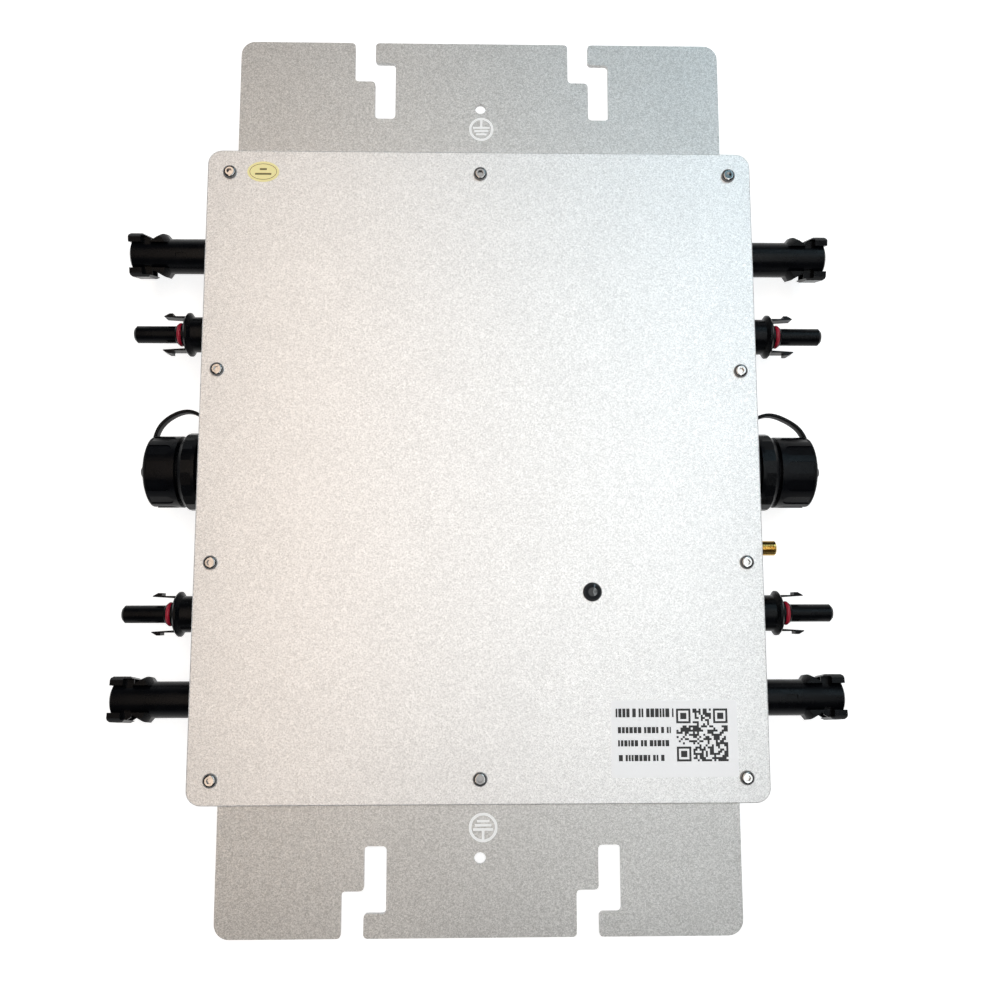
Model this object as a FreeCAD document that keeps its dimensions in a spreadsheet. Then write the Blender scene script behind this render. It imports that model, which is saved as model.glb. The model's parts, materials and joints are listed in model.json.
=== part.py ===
"""A wireless micro inverter: a flat aluminium box with DC connectors, AC connectors and an
antenna jack on its sides, and a slotted mounting plate at each end.

Frame: +X to the right, +Y to the upper mounting plate, +Z out of the lid.
The origin is the centre of the box's back face. Lengths are in millimetres.
"""

import FreeCAD, Part
import math
import os
import re

import Sketcher

DIMENSIONS = {
    # lid and its fasteners
    "lid_width": 230.0,
    "lid_length": 269.4,
    "lid_thickness": 2.0,
    "lid_corner": 6.0,
    "lid_edge_round": 0.5,
    "lid_screw_hole": 1.65,
    "screw_shank_radius": 1.5,
    "lid_screw_length": 8.0,
    "button_head_radius": 2.85,
    "button_head_height": 1.65,
    "button_head_round": 1.1,
    "button_hexagon_radius": 1.2,
    "button_hexagon_bottom": 0.6,
    "flat_head_radius": 2.85,
    "flat_head_height": 1.35,
    "flat_head_sunk": 0.05,
    "flat_hexagon_radius": 1.0,
    "flat_hexagon_depth": 0.9,
    "plate_screw_length": 7.0,
    "corner_screw_x": 105.5,
    "end_screw_y": 124.8,
    "side_screw_x": 108.2,
    "side_screw_y": 39.7,
    "light_x": 45.2,
    "light_y": -51.6,
    "light_hole": 2.95,
    "light_skirt": 3.4,
    "light_bore": 2.65,
    "light_flange_radius": 3.8,
    "light_flange": 0.6,
    "light_side": 1.5,
    "light_side_radius": 3.1,
    "light_crown": 2.1,
    "light_crown_radius": 1.8,
    "light_top": 2.3,
    "light_inner_side": 0.4,
    "light_inner_top": 1.1,
    "diode_radius": 2.5,
    "diode_bottom": 31.0,
    "diode_shoulder": 37.5,
    "diode_dome": 1.6,
    "diode_dome_radius": 1.0,
    "diode_leg": 0.5,
    "diode_leg_spacing": 2.54,
    # housing
    "housing_width": 225.0,
    "housing_length": 264.0,
    "housing_height": 38.0,
    "housing_corner": 4.0,
    "back_edge_round": 1.2,
    "wall": 3.0,
    "mouth_width": 199.0,
    "mouth_length": 222.0,
    "rim_thickness": 4.0,
    "floor_top": 13.0,
    "bay_inner_x": 84.0,
    "bay_floor": 3.0,
    "fin_pitch": 9.0,
    "fin_thickness": 2.4,
    "fin_depth": 10.0,
    "fin_gap_count": 18,
    "gasket_seat": 4.5,
    "gasket_depth": 1.0,
    "gasket_play": 0.2,
    "boss_radius": 4.0,
    "boss_bottom": 26.0,
    "tapped_radius": 1.55,
    "lid_tap_depth": 10.0,
    "plate_tap_depth": 8.0,
    "standoff_radius": 3.6,
    "standoff_tap_depth": 4.6,
    # mounting plates
    "plate_half_width": 102.85,
    "plate_end": 185.0,
    "plate_tuck": 117.0,
    "plate_thickness": 2.0,
    "plate_corner": 6.0,
    "plate_recess_gap": 0.3,
    "left_slot_x": -45.2,
    "right_slot_x": 46.4,
    "slot_width": 8.7,
    "slot_step": 167.4,
    "slot_tab": 175.8,
    "slot_deep": 150.5,
    "slot_round": 1.6,
    "earth_hole_y": 155.3,
    "earth_hole_radius": 2.25,
    "plate_screw_y": 121.2,
    "plate_screw_inner_x": 35.0,
    "plate_screw_outer_x": 85.0,
    "countersink_radius": 3.0,
    "countersink_depth": 1.45,
    # connector rows
    "axis_height": 20.0,
    "socket_row": 95.4,
    "plug_row": 60.2,
    "antenna_row": -32.7,
    "dc_thread_radius": 6.0,
    "dc_hole_radius": 6.2,
    "dc_rear": 14.0,
    "dc_gasket": 1.0,
    "nut_height": 5.0,
    "thread_gap": 0.05,
    "fit_gap": 0.1,
    "dc_nut_flats": 17.0,
    "ac_nut_flats": 23.0,
    # DC sockets, along their own axis from the wall
    "socket_flange_end": 5.0,
    "socket_flange_radius": 9.0,
    "socket_body_radius": 7.5,
    "socket_ear_root": 7.1,
    "socket_ear_floor": 5.45,
    "socket_lobe_start": 22.3,
    "socket_lobe_flat": 23.7,
    "socket_lobe_end": 24.3,
    "socket_lobe_front": 27.6,
    "socket_notch_bottom": 30.0,
    "socket_head_start": 30.2,
    "socket_window_end": 33.6,
    "socket_tip": 38.9,
    "socket_tip_chamfer": 0.9,
    "socket_lip": 0.7,
    "socket_step_run": 1.1,
    "socket_step_rise": 0.8,
    "socket_wedge_run": 3.0,
    "socket_wedge_rise": 2.0,
    "socket_ear": 9.2,
    "socket_ear_limit": 10.5,
    "socket_ear_cone": 2.4,
    "socket_ear_half_depth": 7.2,
    "socket_notch_half": 5.45,
    "socket_window_inside": 4.4,
    "socket_guard_inside": 8.3,
    "socket_mouth_radius": 5.15,
    "socket_mouth_depth": 6.0,
    "socket_bore_radius": 3.85,
    "socket_bore_end": 22.0,
    "latch_slot_inside": 6.2,
    "latch_slot_half": 2.9,
    "window_floor": 3.7,
    "marker_x": 14.2,
    "marker_length": 4.6,
    "marker_half": 0.9,
    "marker_floor": 6.9,
    "contact_rear_radius": 2.5,
    "contact_pin_radius": 2.0,
    "contact_pin_tip": 34.5,
    "contact_pin_chamfer": 1.0,
    # DC plugs
    "plug_base_radius": 7.6,
    "plug_collar_start": 11.3,
    "plug_collar_crest_start": 12.5,
    "plug_collar_crest_end": 13.3,
    "plug_collar_end": 14.2,
    "plug_collar_radius": 9.4,
    "plug_collar_edge_radius": 8.4,
    "plug_neck_radius": 5.0,
    "plug_groove_start": 16.1,
    "plug_groove_end": 18.1,
    "plug_groove_radius": 3.1,
    "plug_lip_radius": 4.3,
    "plug_neck_end": 18.35,
    "plug_barrel_start": 19.0,
    "plug_barrel_radius": 3.7,
    "plug_tip": 36.7,
    "plug_tip_chamfer": 1.0,
    "o_ring_major": 4.1,
    "o_ring_minor": 0.95,
    "sleeve_bore": 2.05,
    "sleeve_recess": 1.2,
    "latch_start": 14.3,
    "latch_inside": 6.6,
    "latch_outside": 7.6,
    "latch_barb_start": 20.3,
    "latch_barb_top": 21.9,
    "latch_barb_height": 8.8,
    "latch_tip": 24.2,
    "latch_tip_height": 7.5,
    "latch_tip_round": 0.3,
    "latch_width": 5.0,
    "latch_round": 0.4,
    # AC connectors
    "ac_thread_radius": 9.0,
    "ac_hole_radius": 9.2,
    "ac_rear": 15.0,
    "ac_gasket": 1.2,
    "ac_flange_radius": 15.5,
    "ac_neck_start": 2.6,
    "ac_neck_end": 5.0,
    "ac_neck_radius": 13.2,
    "ac_collar_radius": 16.6,
    "ac_collar_end": 12.5,
    "ac_collar_cone": 2.25,
    "ac_collar_cone_radius": 14.8,
    "ac_facet_count": 20,
    "ac_facet_start": 6.4,
    "ac_facet_half": 2.8,
    "ac_facet_depth": 0.3,
    "ac_spigot_radius": 12.9,
    "ac_spigot_length": 11.0,
    "ac_bore_radius": 10.5,
    "ac_bore_bottom": 8.0,
    "ac_wire_bore": 6.5,
    "right_cap_extra": 2.0,
    "cap_gap": 1.2,
    "cap_radius": 15.2,
    "cap_bore_radius": 13.1,
    "cap_bore_depth": 10.3,
    "cap_shoulder": 11.4,
    "cap_shoulder_radius": 13.9,
    "cap_cone": 12.7,
    "cap_cone_radius": 10.0,
    "cap_face": 13.8,
    "cap_post_radius": 1.5,
    "cap_head": 15.7,
    "cap_head_radius": 2.4,
    "cap_head_edge": 0.3,
    "cap_head_chamfer": 0.5,
    "cap_hub_radius": 3.0,
    "cap_tip": 17.7,
    "grip_start": 1.8,
    "grip_half": 2.5,
    "grip_end_radius": 2.499,
    "grip_depth": 0.6,
    "grip_count": 12,
    "tether_ring_wall": 2.2,
    "tether_disc_hub": 3.2,
    "tether_disc_rise": 1.3,
    "tether_rim_rise": 0.9,
    "tether_gap": 0.15,
    "tether_thickness": 1.4,
    "tether_width": 4.6,
    "ac_insert_radius": 10.3,
    "ac_insert_front": 20.0,
    "ac_pin_circle": 5.2,
    "ac_pin_hole": 1.3,
    "ac_pin_depth": 9.0,
    # antenna jack
    "jack_radius": 3.15,
    "jack_root_radius": 2.85,
    "jack_tip": 13.6,
    "jack_rear": 9.0,
    "jack_tail_radius": 2.2,
    "jack_tip_chamfer": 0.4,
    "jack_insulator_step": 0.8,
    "jack_flange_radius": 4.4,
    "jack_flange": 1.5,
    "jack_bore_radius": 2.3,
    "jack_bore_depth": 6.0,
    "jack_hole_radius": 3.25,
    "jack_thread_start": 3.6,
    "jack_thread_pitch": 0.7,
    "jack_thread_mouth": 0.6,
    "jack_thread_count": 13,
    "jack_nut_start": 0.1,
    "jack_nut_height": 2.3,
    "jack_nut_flats": 8.0,
    "jack_pin_radius": 0.5,
    # circuit board and what stands on it
    "board_width": 164.0,
    "board_length": 214.0,
    "board_bottom": 18.0,
    "board_thickness": 1.6,
    "board_screw_x": 70.0,
    "board_screw_y": 98.0,
    "board_screw_head": 2.8,
    "board_screw_head_height": 1.8,
    "board_screw_length": 6.0,
    "core_width": 32.0,
    "core_length": 14.0,
    "core_height": 15.0,
    "winding_width": 22.0,
    "winding_length": 28.0,
    "winding_height": 13.0,
    "transformer_x": 26.0,
    "transformer_y": 50.0,
    "can_radius": 8.0,
    "can_height": 15.5,
    "can_y": 95.0,
    "film_width": 10.0,
    "film_length": 20.0,
    "film_height": 14.0,
    "film_x": 20.0,
    "transistor_width": 10.0,
    "transistor_length": 9.0,
    "transistor_height": 4.4,
    "transistor_y": 72.0,
    "tab_length": 7.0,
    "tab_thickness": 1.3,
    "thermal_pad_width": 12.0,
    "thermal_pad_length": 20.0,
    "thermal_pad_thickness": 0.5,
    "choke_radius": 9.0,
    "choke_section": 4.4,
    "choke_x": -62.0,
    "choke_y": -38.0,
    "relay_width": 12.7,
    "relay_length": 29.0,
    "relay_height": 15.5,
    "relay_y": 50.0,
    "chip_width": 10.0,
    "chip_height": 1.4,
    "chip_x": -60.0,
    "chip_y": 30.0,
    "module_width": 18.0,
    "module_length": 14.0,
    "module_thickness": 1.0,
    "module_x": 66.0,
    "module_y": -32.0,
    "shield_width": 11.0,
    "shield_length": 12.0,
    "shield_height": 2.4,
    "shield_x": -3.0,
    "jack_socket_radius": 1.3,
    "jack_socket_x": 6.0,
    "dc_wire_radius": 1.7,
    "ac_wire_radius": 1.1,
    "antenna_lead_radius": 0.7,
    "dc_wire_level_x": 91.0,
    "dc_wire_climb_x": 86.0,
    "wire_landing": 77.0,
    "wire_rise": 5.0,
    "ac_wire_side": 4.0,
    "ac_wire_low": -1.0,
    "ac_wire_high": 3.0,
    "ac_wire_in_bore": 12.0,
    "ac_wire_straight": 7.0,
    "ac_wire_climb": 12.0,
    "ac_wire_fan": 1.4,
    "ac_wire_spread": 1.8,
    "ac_wire_clearance": 1.0,
    "lead_level_x": 95.5,
    "lead_climb_x": 88.0,
    "lead_climb": 6.0,
    "lead_top_x": 80.0,
    "lead_rise": 7.5,
    "label_width": 50.4,
    "label_height": 29.8,
    "label_x": 77.1,
    "label_y": -109.6,
    "label_thickness": 0.12,
    "label_corner": 1.0,
    "sticker_width": 13.4,
    "sticker_height": 9.0,
    "sticker_x": -91.6,
    "sticker_y": 125.2,
}

doc = FreeCAD.newDocument("micro_inverter")
sheet = doc.addObject("Spreadsheet::Sheet", "Dims")
for row, (alias, amount) in enumerate(DIMENSIONS.items(), start=1):
    sheet.set(f"A{row}", alias.replace("_", " "))
    sheet.set(f"B{row}", str(amount))
    sheet.setAlias(f"B{row}", alias)
doc.recompute()

nodes = []
NEARLY_ZERO = 1e-6


# ---------------------------------------------------------------- small tools


def formula(text):
    """The expression in which each dimension's name points to its cell."""

    def cell(found):
        word = found.group(0)
        return "Dims." + word if word in DIMENSIONS else word

    return re.sub(r"[a-z][a-z_]*", cell, str(text))


def size(text):
    """The present value of an expression in dimension names."""
    return float(sheet.evalExpression(formula(text)))


def keep(item, label):
    """Makes an object a finished sub-part with its own label."""
    item.Label = label
    nodes.append(item)
    return item


def place(item, x="0", y="0", z="0", rotation=None, prefix="Placement"):
    """Binds an object's position to the sheet and sets its rotation."""
    if rotation is not None:
        setattr(item, prefix, FreeCAD.Placement(FreeCAD.Vector(), rotation))
    for axis, text in zip("xyz", (x, y, z)):
        item.setExpression(f"{prefix}.Base.{axis}", formula(text))
    return item


def new_body(name):
    return doc.addObject("PartDesign::Body", name)


def new_sketch(body, lift="0", role="XY_Plane"):
    """A sketch on one of the body's origin planes, lifted along that plane's normal."""
    plane = next(feature for feature in body.Origin.OriginFeatures if feature.Role == role)
    sketch = body.newObject("Sketcher::SketchObject", "Sketch")
    sketch.AttachmentSupport = (plane, [""])
    sketch.MapMode = "FlatFace"
    sketch.setExpression("AttachmentOffset.Base.z", formula(lift))
    return sketch


def bind_point(sketch, geometry, position, x, y):
    """Holds one point of a sketch at a place that the sheet gives."""
    for kind, text in (("DistanceX", x), ("DistanceY", y)):
        held = sketch.addConstraint(Sketcher.Constraint(kind, -1, 1, geometry, position, size(text)))
        sketch.setExpression(f"Constraints[{held}]", formula(text))


def polygon(sketch, points):
    """A closed outline through points that are given as expressions."""
    first = sketch.GeometryCount
    corners = [FreeCAD.Vector(size(x), size(y), 0) for x, y in points]
    for start, end in zip(corners, corners[1:] + corners[:1]):
        sketch.addGeometry(Part.LineSegment(start, end))
    count = len(points)
    for index in range(count):
        following = first + (index + 1) % count
        sketch.addConstraint(Sketcher.Constraint("Coincident", first + index, 2, following, 1))
    for index, (x, y) in enumerate(points):
        bind_point(sketch, first + index, 1, x, y)
    return sketch


def rectangle(sketch, left, bottom, right, top):
    return polygon(sketch, [(left, bottom), (right, bottom), (right, top), (left, top)])


def circle(sketch, x, y, radius):
    number = sketch.addGeometry(
        Part.Circle(FreeCAD.Vector(size(x), size(y), 0), FreeCAD.Vector(0, 0, 1), size(radius))
    )
    bind_point(sketch, number, 3, x, y)
    held = sketch.addConstraint(Sketcher.Constraint("Radius", number, size(radius)))
    sketch.setExpression(f"Constraints[{held}]", formula(radius))
    return sketch


def add_feature(body, kind, profile):
    feature = body.newObject("PartDesign::" + kind, kind)
    feature.Profile = profile
    profile.Visibility = False
    return feature


def volume_of(body):
    return body.Shape.Volume if body.Tip and not body.Shape.isNull() else 0.0


def finish_feature(body, before, grows):
    """Recomputes and proves that the feature added or removed material."""
    doc.recompute()
    change = volume_of(body) - before
    if (change <= 0) if grows else (change >= 0):
        raise RuntimeError(f"a feature of {body.Name} changed nothing")


def pad(body, profile, length, midplane=False):
    before = volume_of(body)
    feature = add_feature(body, "Pad", profile)
    feature.Midplane = midplane
    feature.setExpression("Length", formula(length))
    finish_feature(body, before, grows=True)
    return feature


def pocket(body, profile, depth, upwards=False, midplane=False):
    before = volume_of(body)
    feature = add_feature(body, "Pocket", profile)
    feature.Reversed = upwards
    feature.Midplane = midplane
    feature.setExpression("Length", formula(depth))
    finish_feature(body, before, grows=False)
    return feature


def revolve(body, profile, kind="Revolution"):
    """Turns a profile about the sketch's horizontal axis."""
    before = volume_of(body)
    feature = add_feature(body, kind, profile)
    feature.ReferenceAxis = (profile, ["H_Axis"])
    feature.Angle = 360
    finish_feature(body, before, grows=kind == "Revolution")
    return feature


def repeat_around(body, feature, axis_role, count):
    """Repeats a feature evenly around one of the body's axes."""
    axis = next(line for line in body.Origin.OriginFeatures if line.Role == axis_role)
    before = volume_of(body)
    pattern = body.newObject("PartDesign::PolarPattern", "PolarPattern")
    pattern.Originals = [feature]
    pattern.Axis = (axis, [""])
    pattern.Angle = 360
    pattern.setExpression("Occurrences", formula(count))
    body.Tip = pattern
    finish_feature(body, before, grows=False)


def repeat_along(body, feature, axis_role, spacing, count):
    """Repeats a feature in a row along one of the body's axes."""
    axis = next(line for line in body.Origin.OriginFeatures if line.Role == axis_role)
    before = volume_of(body)
    pattern = body.newObject("PartDesign::LinearPattern", "LinearPattern")
    pattern.Originals = [feature]
    pattern.Direction = (axis, [""])
    pattern.setExpression("Length", formula(f"({spacing}) * ({count} - 1)"))
    pattern.setExpression("Occurrences", formula(count))
    body.Tip = pattern
    finish_feature(body, before, grows=False)


def soften(body, radius, chosen, kind="Fillet"):
    """Rounds or chamfers the edges of the body's tip that the test picks."""
    shape = body.Tip.Shape
    names = [f"Edge{number}" for number, edge in enumerate(shape.Edges, start=1) if chosen(edge)]
    feature = body.newObject("PartDesign::" + kind, kind)
    feature.Base = (feature.BaseFeature, names)
    feature.setExpression("Radius" if kind == "Fillet" else "Size", formula(radius))
    doc.recompute()
    return feature


def is_upright(edge):
    ends = [vertex.Point for vertex in edge.Vertexes]
    if len(ends) != 2:
        return False
    along = ends[1] - ends[0]
    return math.hypot(along.x, along.y) < NEARLY_ZERO < abs(along.z)


def lies_at(edge, height):
    box = edge.BoundBox
    return abs(box.ZMin - height) < NEARLY_ZERO and abs(box.ZMax - height) < NEARLY_ZERO


def block(name, width, length, height):
    """A box centred in X and Y that stands on its own origin."""
    item = doc.addObject("Part::Box", name)
    for side, text in (("Length", width), ("Width", length), ("Height", height)):
        item.setExpression(side, formula(text))
    place(item, f"-({width}) / 2", f"-({length}) / 2")
    return item


def rod(name, radius, height, z="0"):
    item = doc.addObject("Part::Cylinder", name)
    item.setExpression("Radius", formula(radius))
    item.setExpression("Height", formula(height))
    return place(item, z=z)


def fuse(name, pieces):
    item = doc.addObject("Part::MultiFuse", name)
    item.Shapes = pieces
    return item


def cut(name, base, tool):
    item = doc.addObject("Part::Cut", name)
    item.Base = base
    item.Tool = tool
    return item


def group(label, pattern, places):
    """Separate copies of one solid, kept as one sub-part: each place is x, y, z, rotation."""
    copies = []
    for x, y, z, rotation in places:
        copy = doc.addObject("App::Link", pattern.Name + "_copy")
        copy.LinkedObject = pattern
        copy.LinkTransform = True
        copies.append(place(copy, x, y, z, rotation or FreeCAD.Rotation(), prefix="LinkPlacement"))
    compound = doc.addObject("Part::Compound", label)
    compound.Links = copies
    return keep(compound, label)


def round_route(points, bend=0.45):
    """Straight runs joined by tangent arcs, each as large as its two runs allow."""
    corners = [FreeCAD.Vector(*point) for point in points]
    edges = []
    start = corners[0]
    for before, corner, after in zip(corners, corners[1:], corners[2:]):
        into = (corner - before).normalize()
        out = (after - corner).normalize()
        reach = bend * min((corner - before).Length, (after - corner).Length)
        arc_start = corner - into * reach
        arc_end = corner + out * reach
        half_turn = into.getAngle(out) / 2
        radius = reach / math.tan(half_turn)
        centre = corner + (out - into).normalize() * (radius / math.cos(half_turn))
        middle = centre + (corner - centre).normalize() * radius
        edges.append(Part.LineSegment(start, arc_start).toShape())
        edges.append(Part.Arc(arc_start, middle, arc_end).toShape())
        start = arc_end
    edges.append(Part.LineSegment(start, corners[-1]).toShape())
    return Part.Wire(edges)


def sweep(section, path, area, tolerance=0.03):
    """A solid of one section along a path, whose volume is compared with area x length."""
    solid = path.makePipeShell([section], True, True)
    if abs(solid.Volume / (area * path.Length) - 1) > tolerance:
        raise RuntimeError("a swept solid has the wrong volume")
    return solid


def tube(points, radius):
    path = round_route(points)
    along = FreeCAD.Vector(*points[1]) - FreeCAD.Vector(*points[0])
    ring = Part.Wire(Part.makeCircle(radius, FreeCAD.Vector(*points[0]), along))
    return sweep(ring, path, math.pi * radius**2)


# ---------------------------------------------------------------- where connectors stand

LEFT = "left"
RIGHT = "right"
LEAN = {"upper": 14.0, "lower": 8.0}


def outward(side, turn=0.0):
    """The rotation that points a connector's own +X out of the box's side wall."""
    return FreeCAD.Rotation(180.0 if side == LEFT else 0.0, 0.0, turn)


def sign(side):
    return "-1" if side == LEFT else "1"


def along_wall(side, distance):
    """The X of a point that lies this far outside the side wall."""
    return f"{sign(side)} * (housing_width / 2 + ({distance}))"


def stand_on_wall(item, side, row_y, turn=0.0):
    return place(item, along_wall(side, "0"), row_y, "axis_height", outward(side, turn))


def socket_turn(side, level):
    """Each socket's own turn: its flat face up, leaning a little towards the box's middle."""
    stepped_side_down = (side == RIGHT) == (level == "upper")
    return 180.0 + LEAN[level] if stepped_side_down else -LEAN[level]


CONNECTOR_SPOTS = [(side, level) for side in (LEFT, RIGHT) for level in ("upper", "lower")]


def level_y(level, row):
    return row if level == "upper" else f"-{row}"


# ---------------------------------------------------------------- box, lid and plates

CORNER_SCREWS = [(f"{a} * corner_screw_x", f"{b} * end_screw_y") for a in (-1, 1) for b in (-1, 1)]
END_SCREWS = [("0", f"{b} * end_screw_y") for b in (-1, 1)]
SIDE_SCREWS = [(f"{a} * side_screw_x", f"{b} * side_screw_y") for a in (-1, 1) for b in (-1, 1)]
LID_SCREWS = CORNER_SCREWS + END_SCREWS + SIDE_SCREWS
PLATE_SCREWS = [
    (f"{a} * {x}", f"{b} * plate_screw_y")
    for a in (-1, 1)
    for b in (-1, 1)
    for x in ("plate_screw_inner_x", "plate_screw_outer_x")
]
BOARD_TOP = "(board_bottom + board_thickness)"
BOARD_SCREWS = [(f"{a} * board_screw_x", f"{b} * board_screw_y") for a in (-1, 1) for b in (-1, 0, 1)]


def base_housing():
    """A cast tray: finned middle, deep side bays for the connectors, inward rim for the lid."""
    body = new_body("base_housing")
    outer = new_sketch(body)
    rectangle(outer, "-housing_width / 2", "-housing_length / 2", "housing_width / 2", "housing_length / 2")
    pad(body, outer, "housing_height")
    soften(body, "housing_corner", is_upright)
    soften(body, "back_edge_round", lambda edge: lies_at(edge, 0))

    mouth = new_sketch(body, "housing_height")
    rectangle(mouth, "-mouth_width / 2", "-mouth_length / 2", "mouth_width / 2", "mouth_length / 2")
    pocket(body, mouth, "rim_thickness")

    inner_x = "(housing_width / 2 - wall)"
    inner_y = "(housing_length / 2 - wall)"
    chamber = new_sketch(body, "housing_height - rim_thickness")
    rectangle(chamber, f"-{inner_x}", f"-{inner_y}", inner_x, inner_y)
    pocket(body, chamber, "housing_height - rim_thickness - floor_top")

    bays = new_sketch(body, "floor_top")
    rectangle(bays, "bay_inner_x", f"-{inner_y}", inner_x, inner_y)
    rectangle(bays, f"-{inner_x}", f"-{inner_y}", "-bay_inner_x", inner_y)
    pocket(body, bays, "floor_top - bay_floor")

    first_gap = "(-fin_pitch * fin_gap_count / 2)"
    gap = new_sketch(body)
    rectangle(
        gap,
        f"{first_gap} + fin_thickness / 2",
        "-housing_length",
        f"{first_gap} + fin_pitch - fin_thickness / 2",
        "housing_length",
    )
    first = pocket(body, gap, "fin_depth", upwards=True)
    repeat_along(body, first, "X_Axis", "fin_pitch", "fin_gap_count")

    seat = new_sketch(body, "housing_height")
    seat_x = "(mouth_width / 2 + gasket_seat)"
    seat_y = "(mouth_length / 2 + gasket_seat)"
    rectangle(seat, f"-{seat_x}", f"-{seat_y}", seat_x, seat_y)
    pocket(body, seat, "gasket_depth")

    ledges = new_sketch(body, "housing_height")
    ledge_x = "(plate_half_width + plate_recess_gap)"
    for end in (-1, 1):
        near = f"{end} * (plate_tuck - plate_recess_gap)"
        far = f"{end} * housing_length"
        rectangle(ledges, f"-{ledge_x}", near, ledge_x, far)
    pocket(body, ledges, "plate_thickness")

    bosses = new_sketch(body, "boss_bottom")
    for x, y in LID_SCREWS + PLATE_SCREWS:
        circle(bosses, x, y, "boss_radius")
    pad(body, bosses, "housing_height - rim_thickness - boss_bottom")

    lid_taps = new_sketch(body, "housing_height")
    for x, y in LID_SCREWS:
        circle(lid_taps, x, y, "tapped_radius")
    pocket(body, lid_taps, "lid_tap_depth")

    plate_taps = new_sketch(body, "housing_height - plate_thickness")
    for x, y in PLATE_SCREWS:
        circle(plate_taps, x, y, "tapped_radius")
    pocket(body, plate_taps, "plate_tap_depth")

    standoffs = new_sketch(body, "floor_top")
    for x, y in BOARD_SCREWS:
        circle(standoffs, x, y, "standoff_radius")
    pad(body, standoffs, "board_bottom - floor_top")
    standoff_taps = new_sketch(body, "board_bottom")
    for x, y in BOARD_SCREWS:
        circle(standoff_taps, x, y, "tapped_radius")
    pocket(body, standoff_taps, "standoff_tap_depth")

    for side in (LEFT, RIGHT):
        holes = new_sketch(body, f"{sign(side)} * housing_width / 2", "YZ_Plane")
        for row in ("socket_row", "plug_row"):
            for level in ("upper", "lower"):
                circle(holes, level_y(level, row), "axis_height", "dc_hole_radius")
        circle(holes, "0", "axis_height", "ac_hole_radius")
        if side == RIGHT:
            circle(holes, "antenna_row", "axis_height", "jack_hole_radius")
        pocket(body, holes, "wall", upwards=side == LEFT)
    keep(body, "base_housing")


def lid_plate():
    body = new_body("lid_plate")
    outline = new_sketch(body, "housing_height")
    rectangle(outline, "-lid_width / 2", "-lid_length / 2", "lid_width / 2", "lid_length / 2")
    pad(body, outline, "lid_thickness")
    soften(body, "lid_corner", is_upright)
    soften(body, "lid_edge_round", lambda edge: lies_at(edge, size("housing_height + lid_thickness")))
    holes = new_sketch(body, "housing_height + lid_thickness")
    for x, y in LID_SCREWS:
        circle(holes, x, y, "lid_screw_hole")
    circle(holes, "light_x", "light_y", "light_hole")
    pocket(body, holes, "lid_thickness")
    keep(body, "lid_plate")


def lid_gasket():
    """A flat rubber frame on the seat around the housing's mouth."""
    body = new_body("lid_gasket")
    frame = new_sketch(body, "housing_height - gasket_depth")
    outer_x = "(mouth_width / 2 + gasket_seat - gasket_play)"
    outer_y = "(mouth_length / 2 + gasket_seat - gasket_play)"
    rectangle(frame, f"-{outer_x}", f"-{outer_y}", outer_x, outer_y)
    rectangle(
        frame,
        "-mouth_width / 2 - gasket_play",
        "-mouth_length / 2 - gasket_play",
        "mouth_width / 2 + gasket_play",
        "mouth_length / 2 + gasket_play",
    )
    pad(body, frame, "gasket_depth")
    keep(body, "lid_gasket")


def hooked_slot(x, end):
    """The corners of one hanging slot: an entry from the plate's end, and a deeper inner slot."""
    return [
        (x, f"{end} * plate_end"),
        (x, f"{end} * slot_tab"),
        (f"{x} + slot_width", f"{end} * slot_tab"),
        (f"{x} + slot_width", f"{end} * slot_deep"),
        (x, f"{end} * slot_deep"),
        (x, f"{end} * slot_step"),
        (f"{x} - slot_width", f"{end} * slot_step"),
        (f"{x} - slot_width", f"{end} * plate_end"),
    ]


def mounting_plate(label, end):
    body = new_body(label)
    outline = new_sketch(body, "housing_height - plate_thickness")
    polygon(
        outline,
        [("-plate_half_width", f"{end} * plate_tuck"), ("plate_half_width", f"{end} * plate_tuck")]
        + [("plate_half_width", f"{end} * plate_end")]
        + hooked_slot("right_slot_x", end)
        + hooked_slot("left_slot_x", end)
        + [("-plate_half_width", f"{end} * plate_end")],
    )
    pad(body, outline, "plate_thickness")

    half_width = size("plate_half_width")

    def at_side(edge):
        return is_upright(edge) and abs(abs(edge.Vertexes[0].X) - half_width) < NEARLY_ZERO

    def in_slot(edge):
        return is_upright(edge) and abs(edge.Vertexes[0].X) < half_width - size("plate_corner")

    soften(body, "slot_round", in_slot)
    soften(body, "plate_corner", lambda edge: at_side(edge) and abs(edge.Vertexes[0].Y) > size("slot_step"))
    holes = new_sketch(body, "housing_height")
    circle(holes, "0", f"{end} * earth_hole_y", "earth_hole_radius")
    circle(holes, "0", f"{end} * end_screw_y", "lid_screw_hole")
    for x, y in PLATE_SCREWS:
        if size(y) * end > 0:
            circle(holes, x, y, "lid_screw_hole")
    pocket(body, holes, "plate_thickness")
    for x, y in PLATE_SCREWS:
        if size(y) * end > 0:
            sink = new_sketch(body, "housing_height")
            circle(sink, x, y, "countersink_radius")
            pocket(body, sink, "countersink_depth")
    keep(body, label)


def hexagon(name, radius, height, z):
    """A hexagonal prism along Z, from its corner radius."""
    prism = doc.addObject("Part::Prism", name)
    prism.Polygon = 6
    prism.setExpression("Circumradius", formula(radius))
    prism.setExpression("Height", formula(height))
    return place(prism, z=z)


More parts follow.
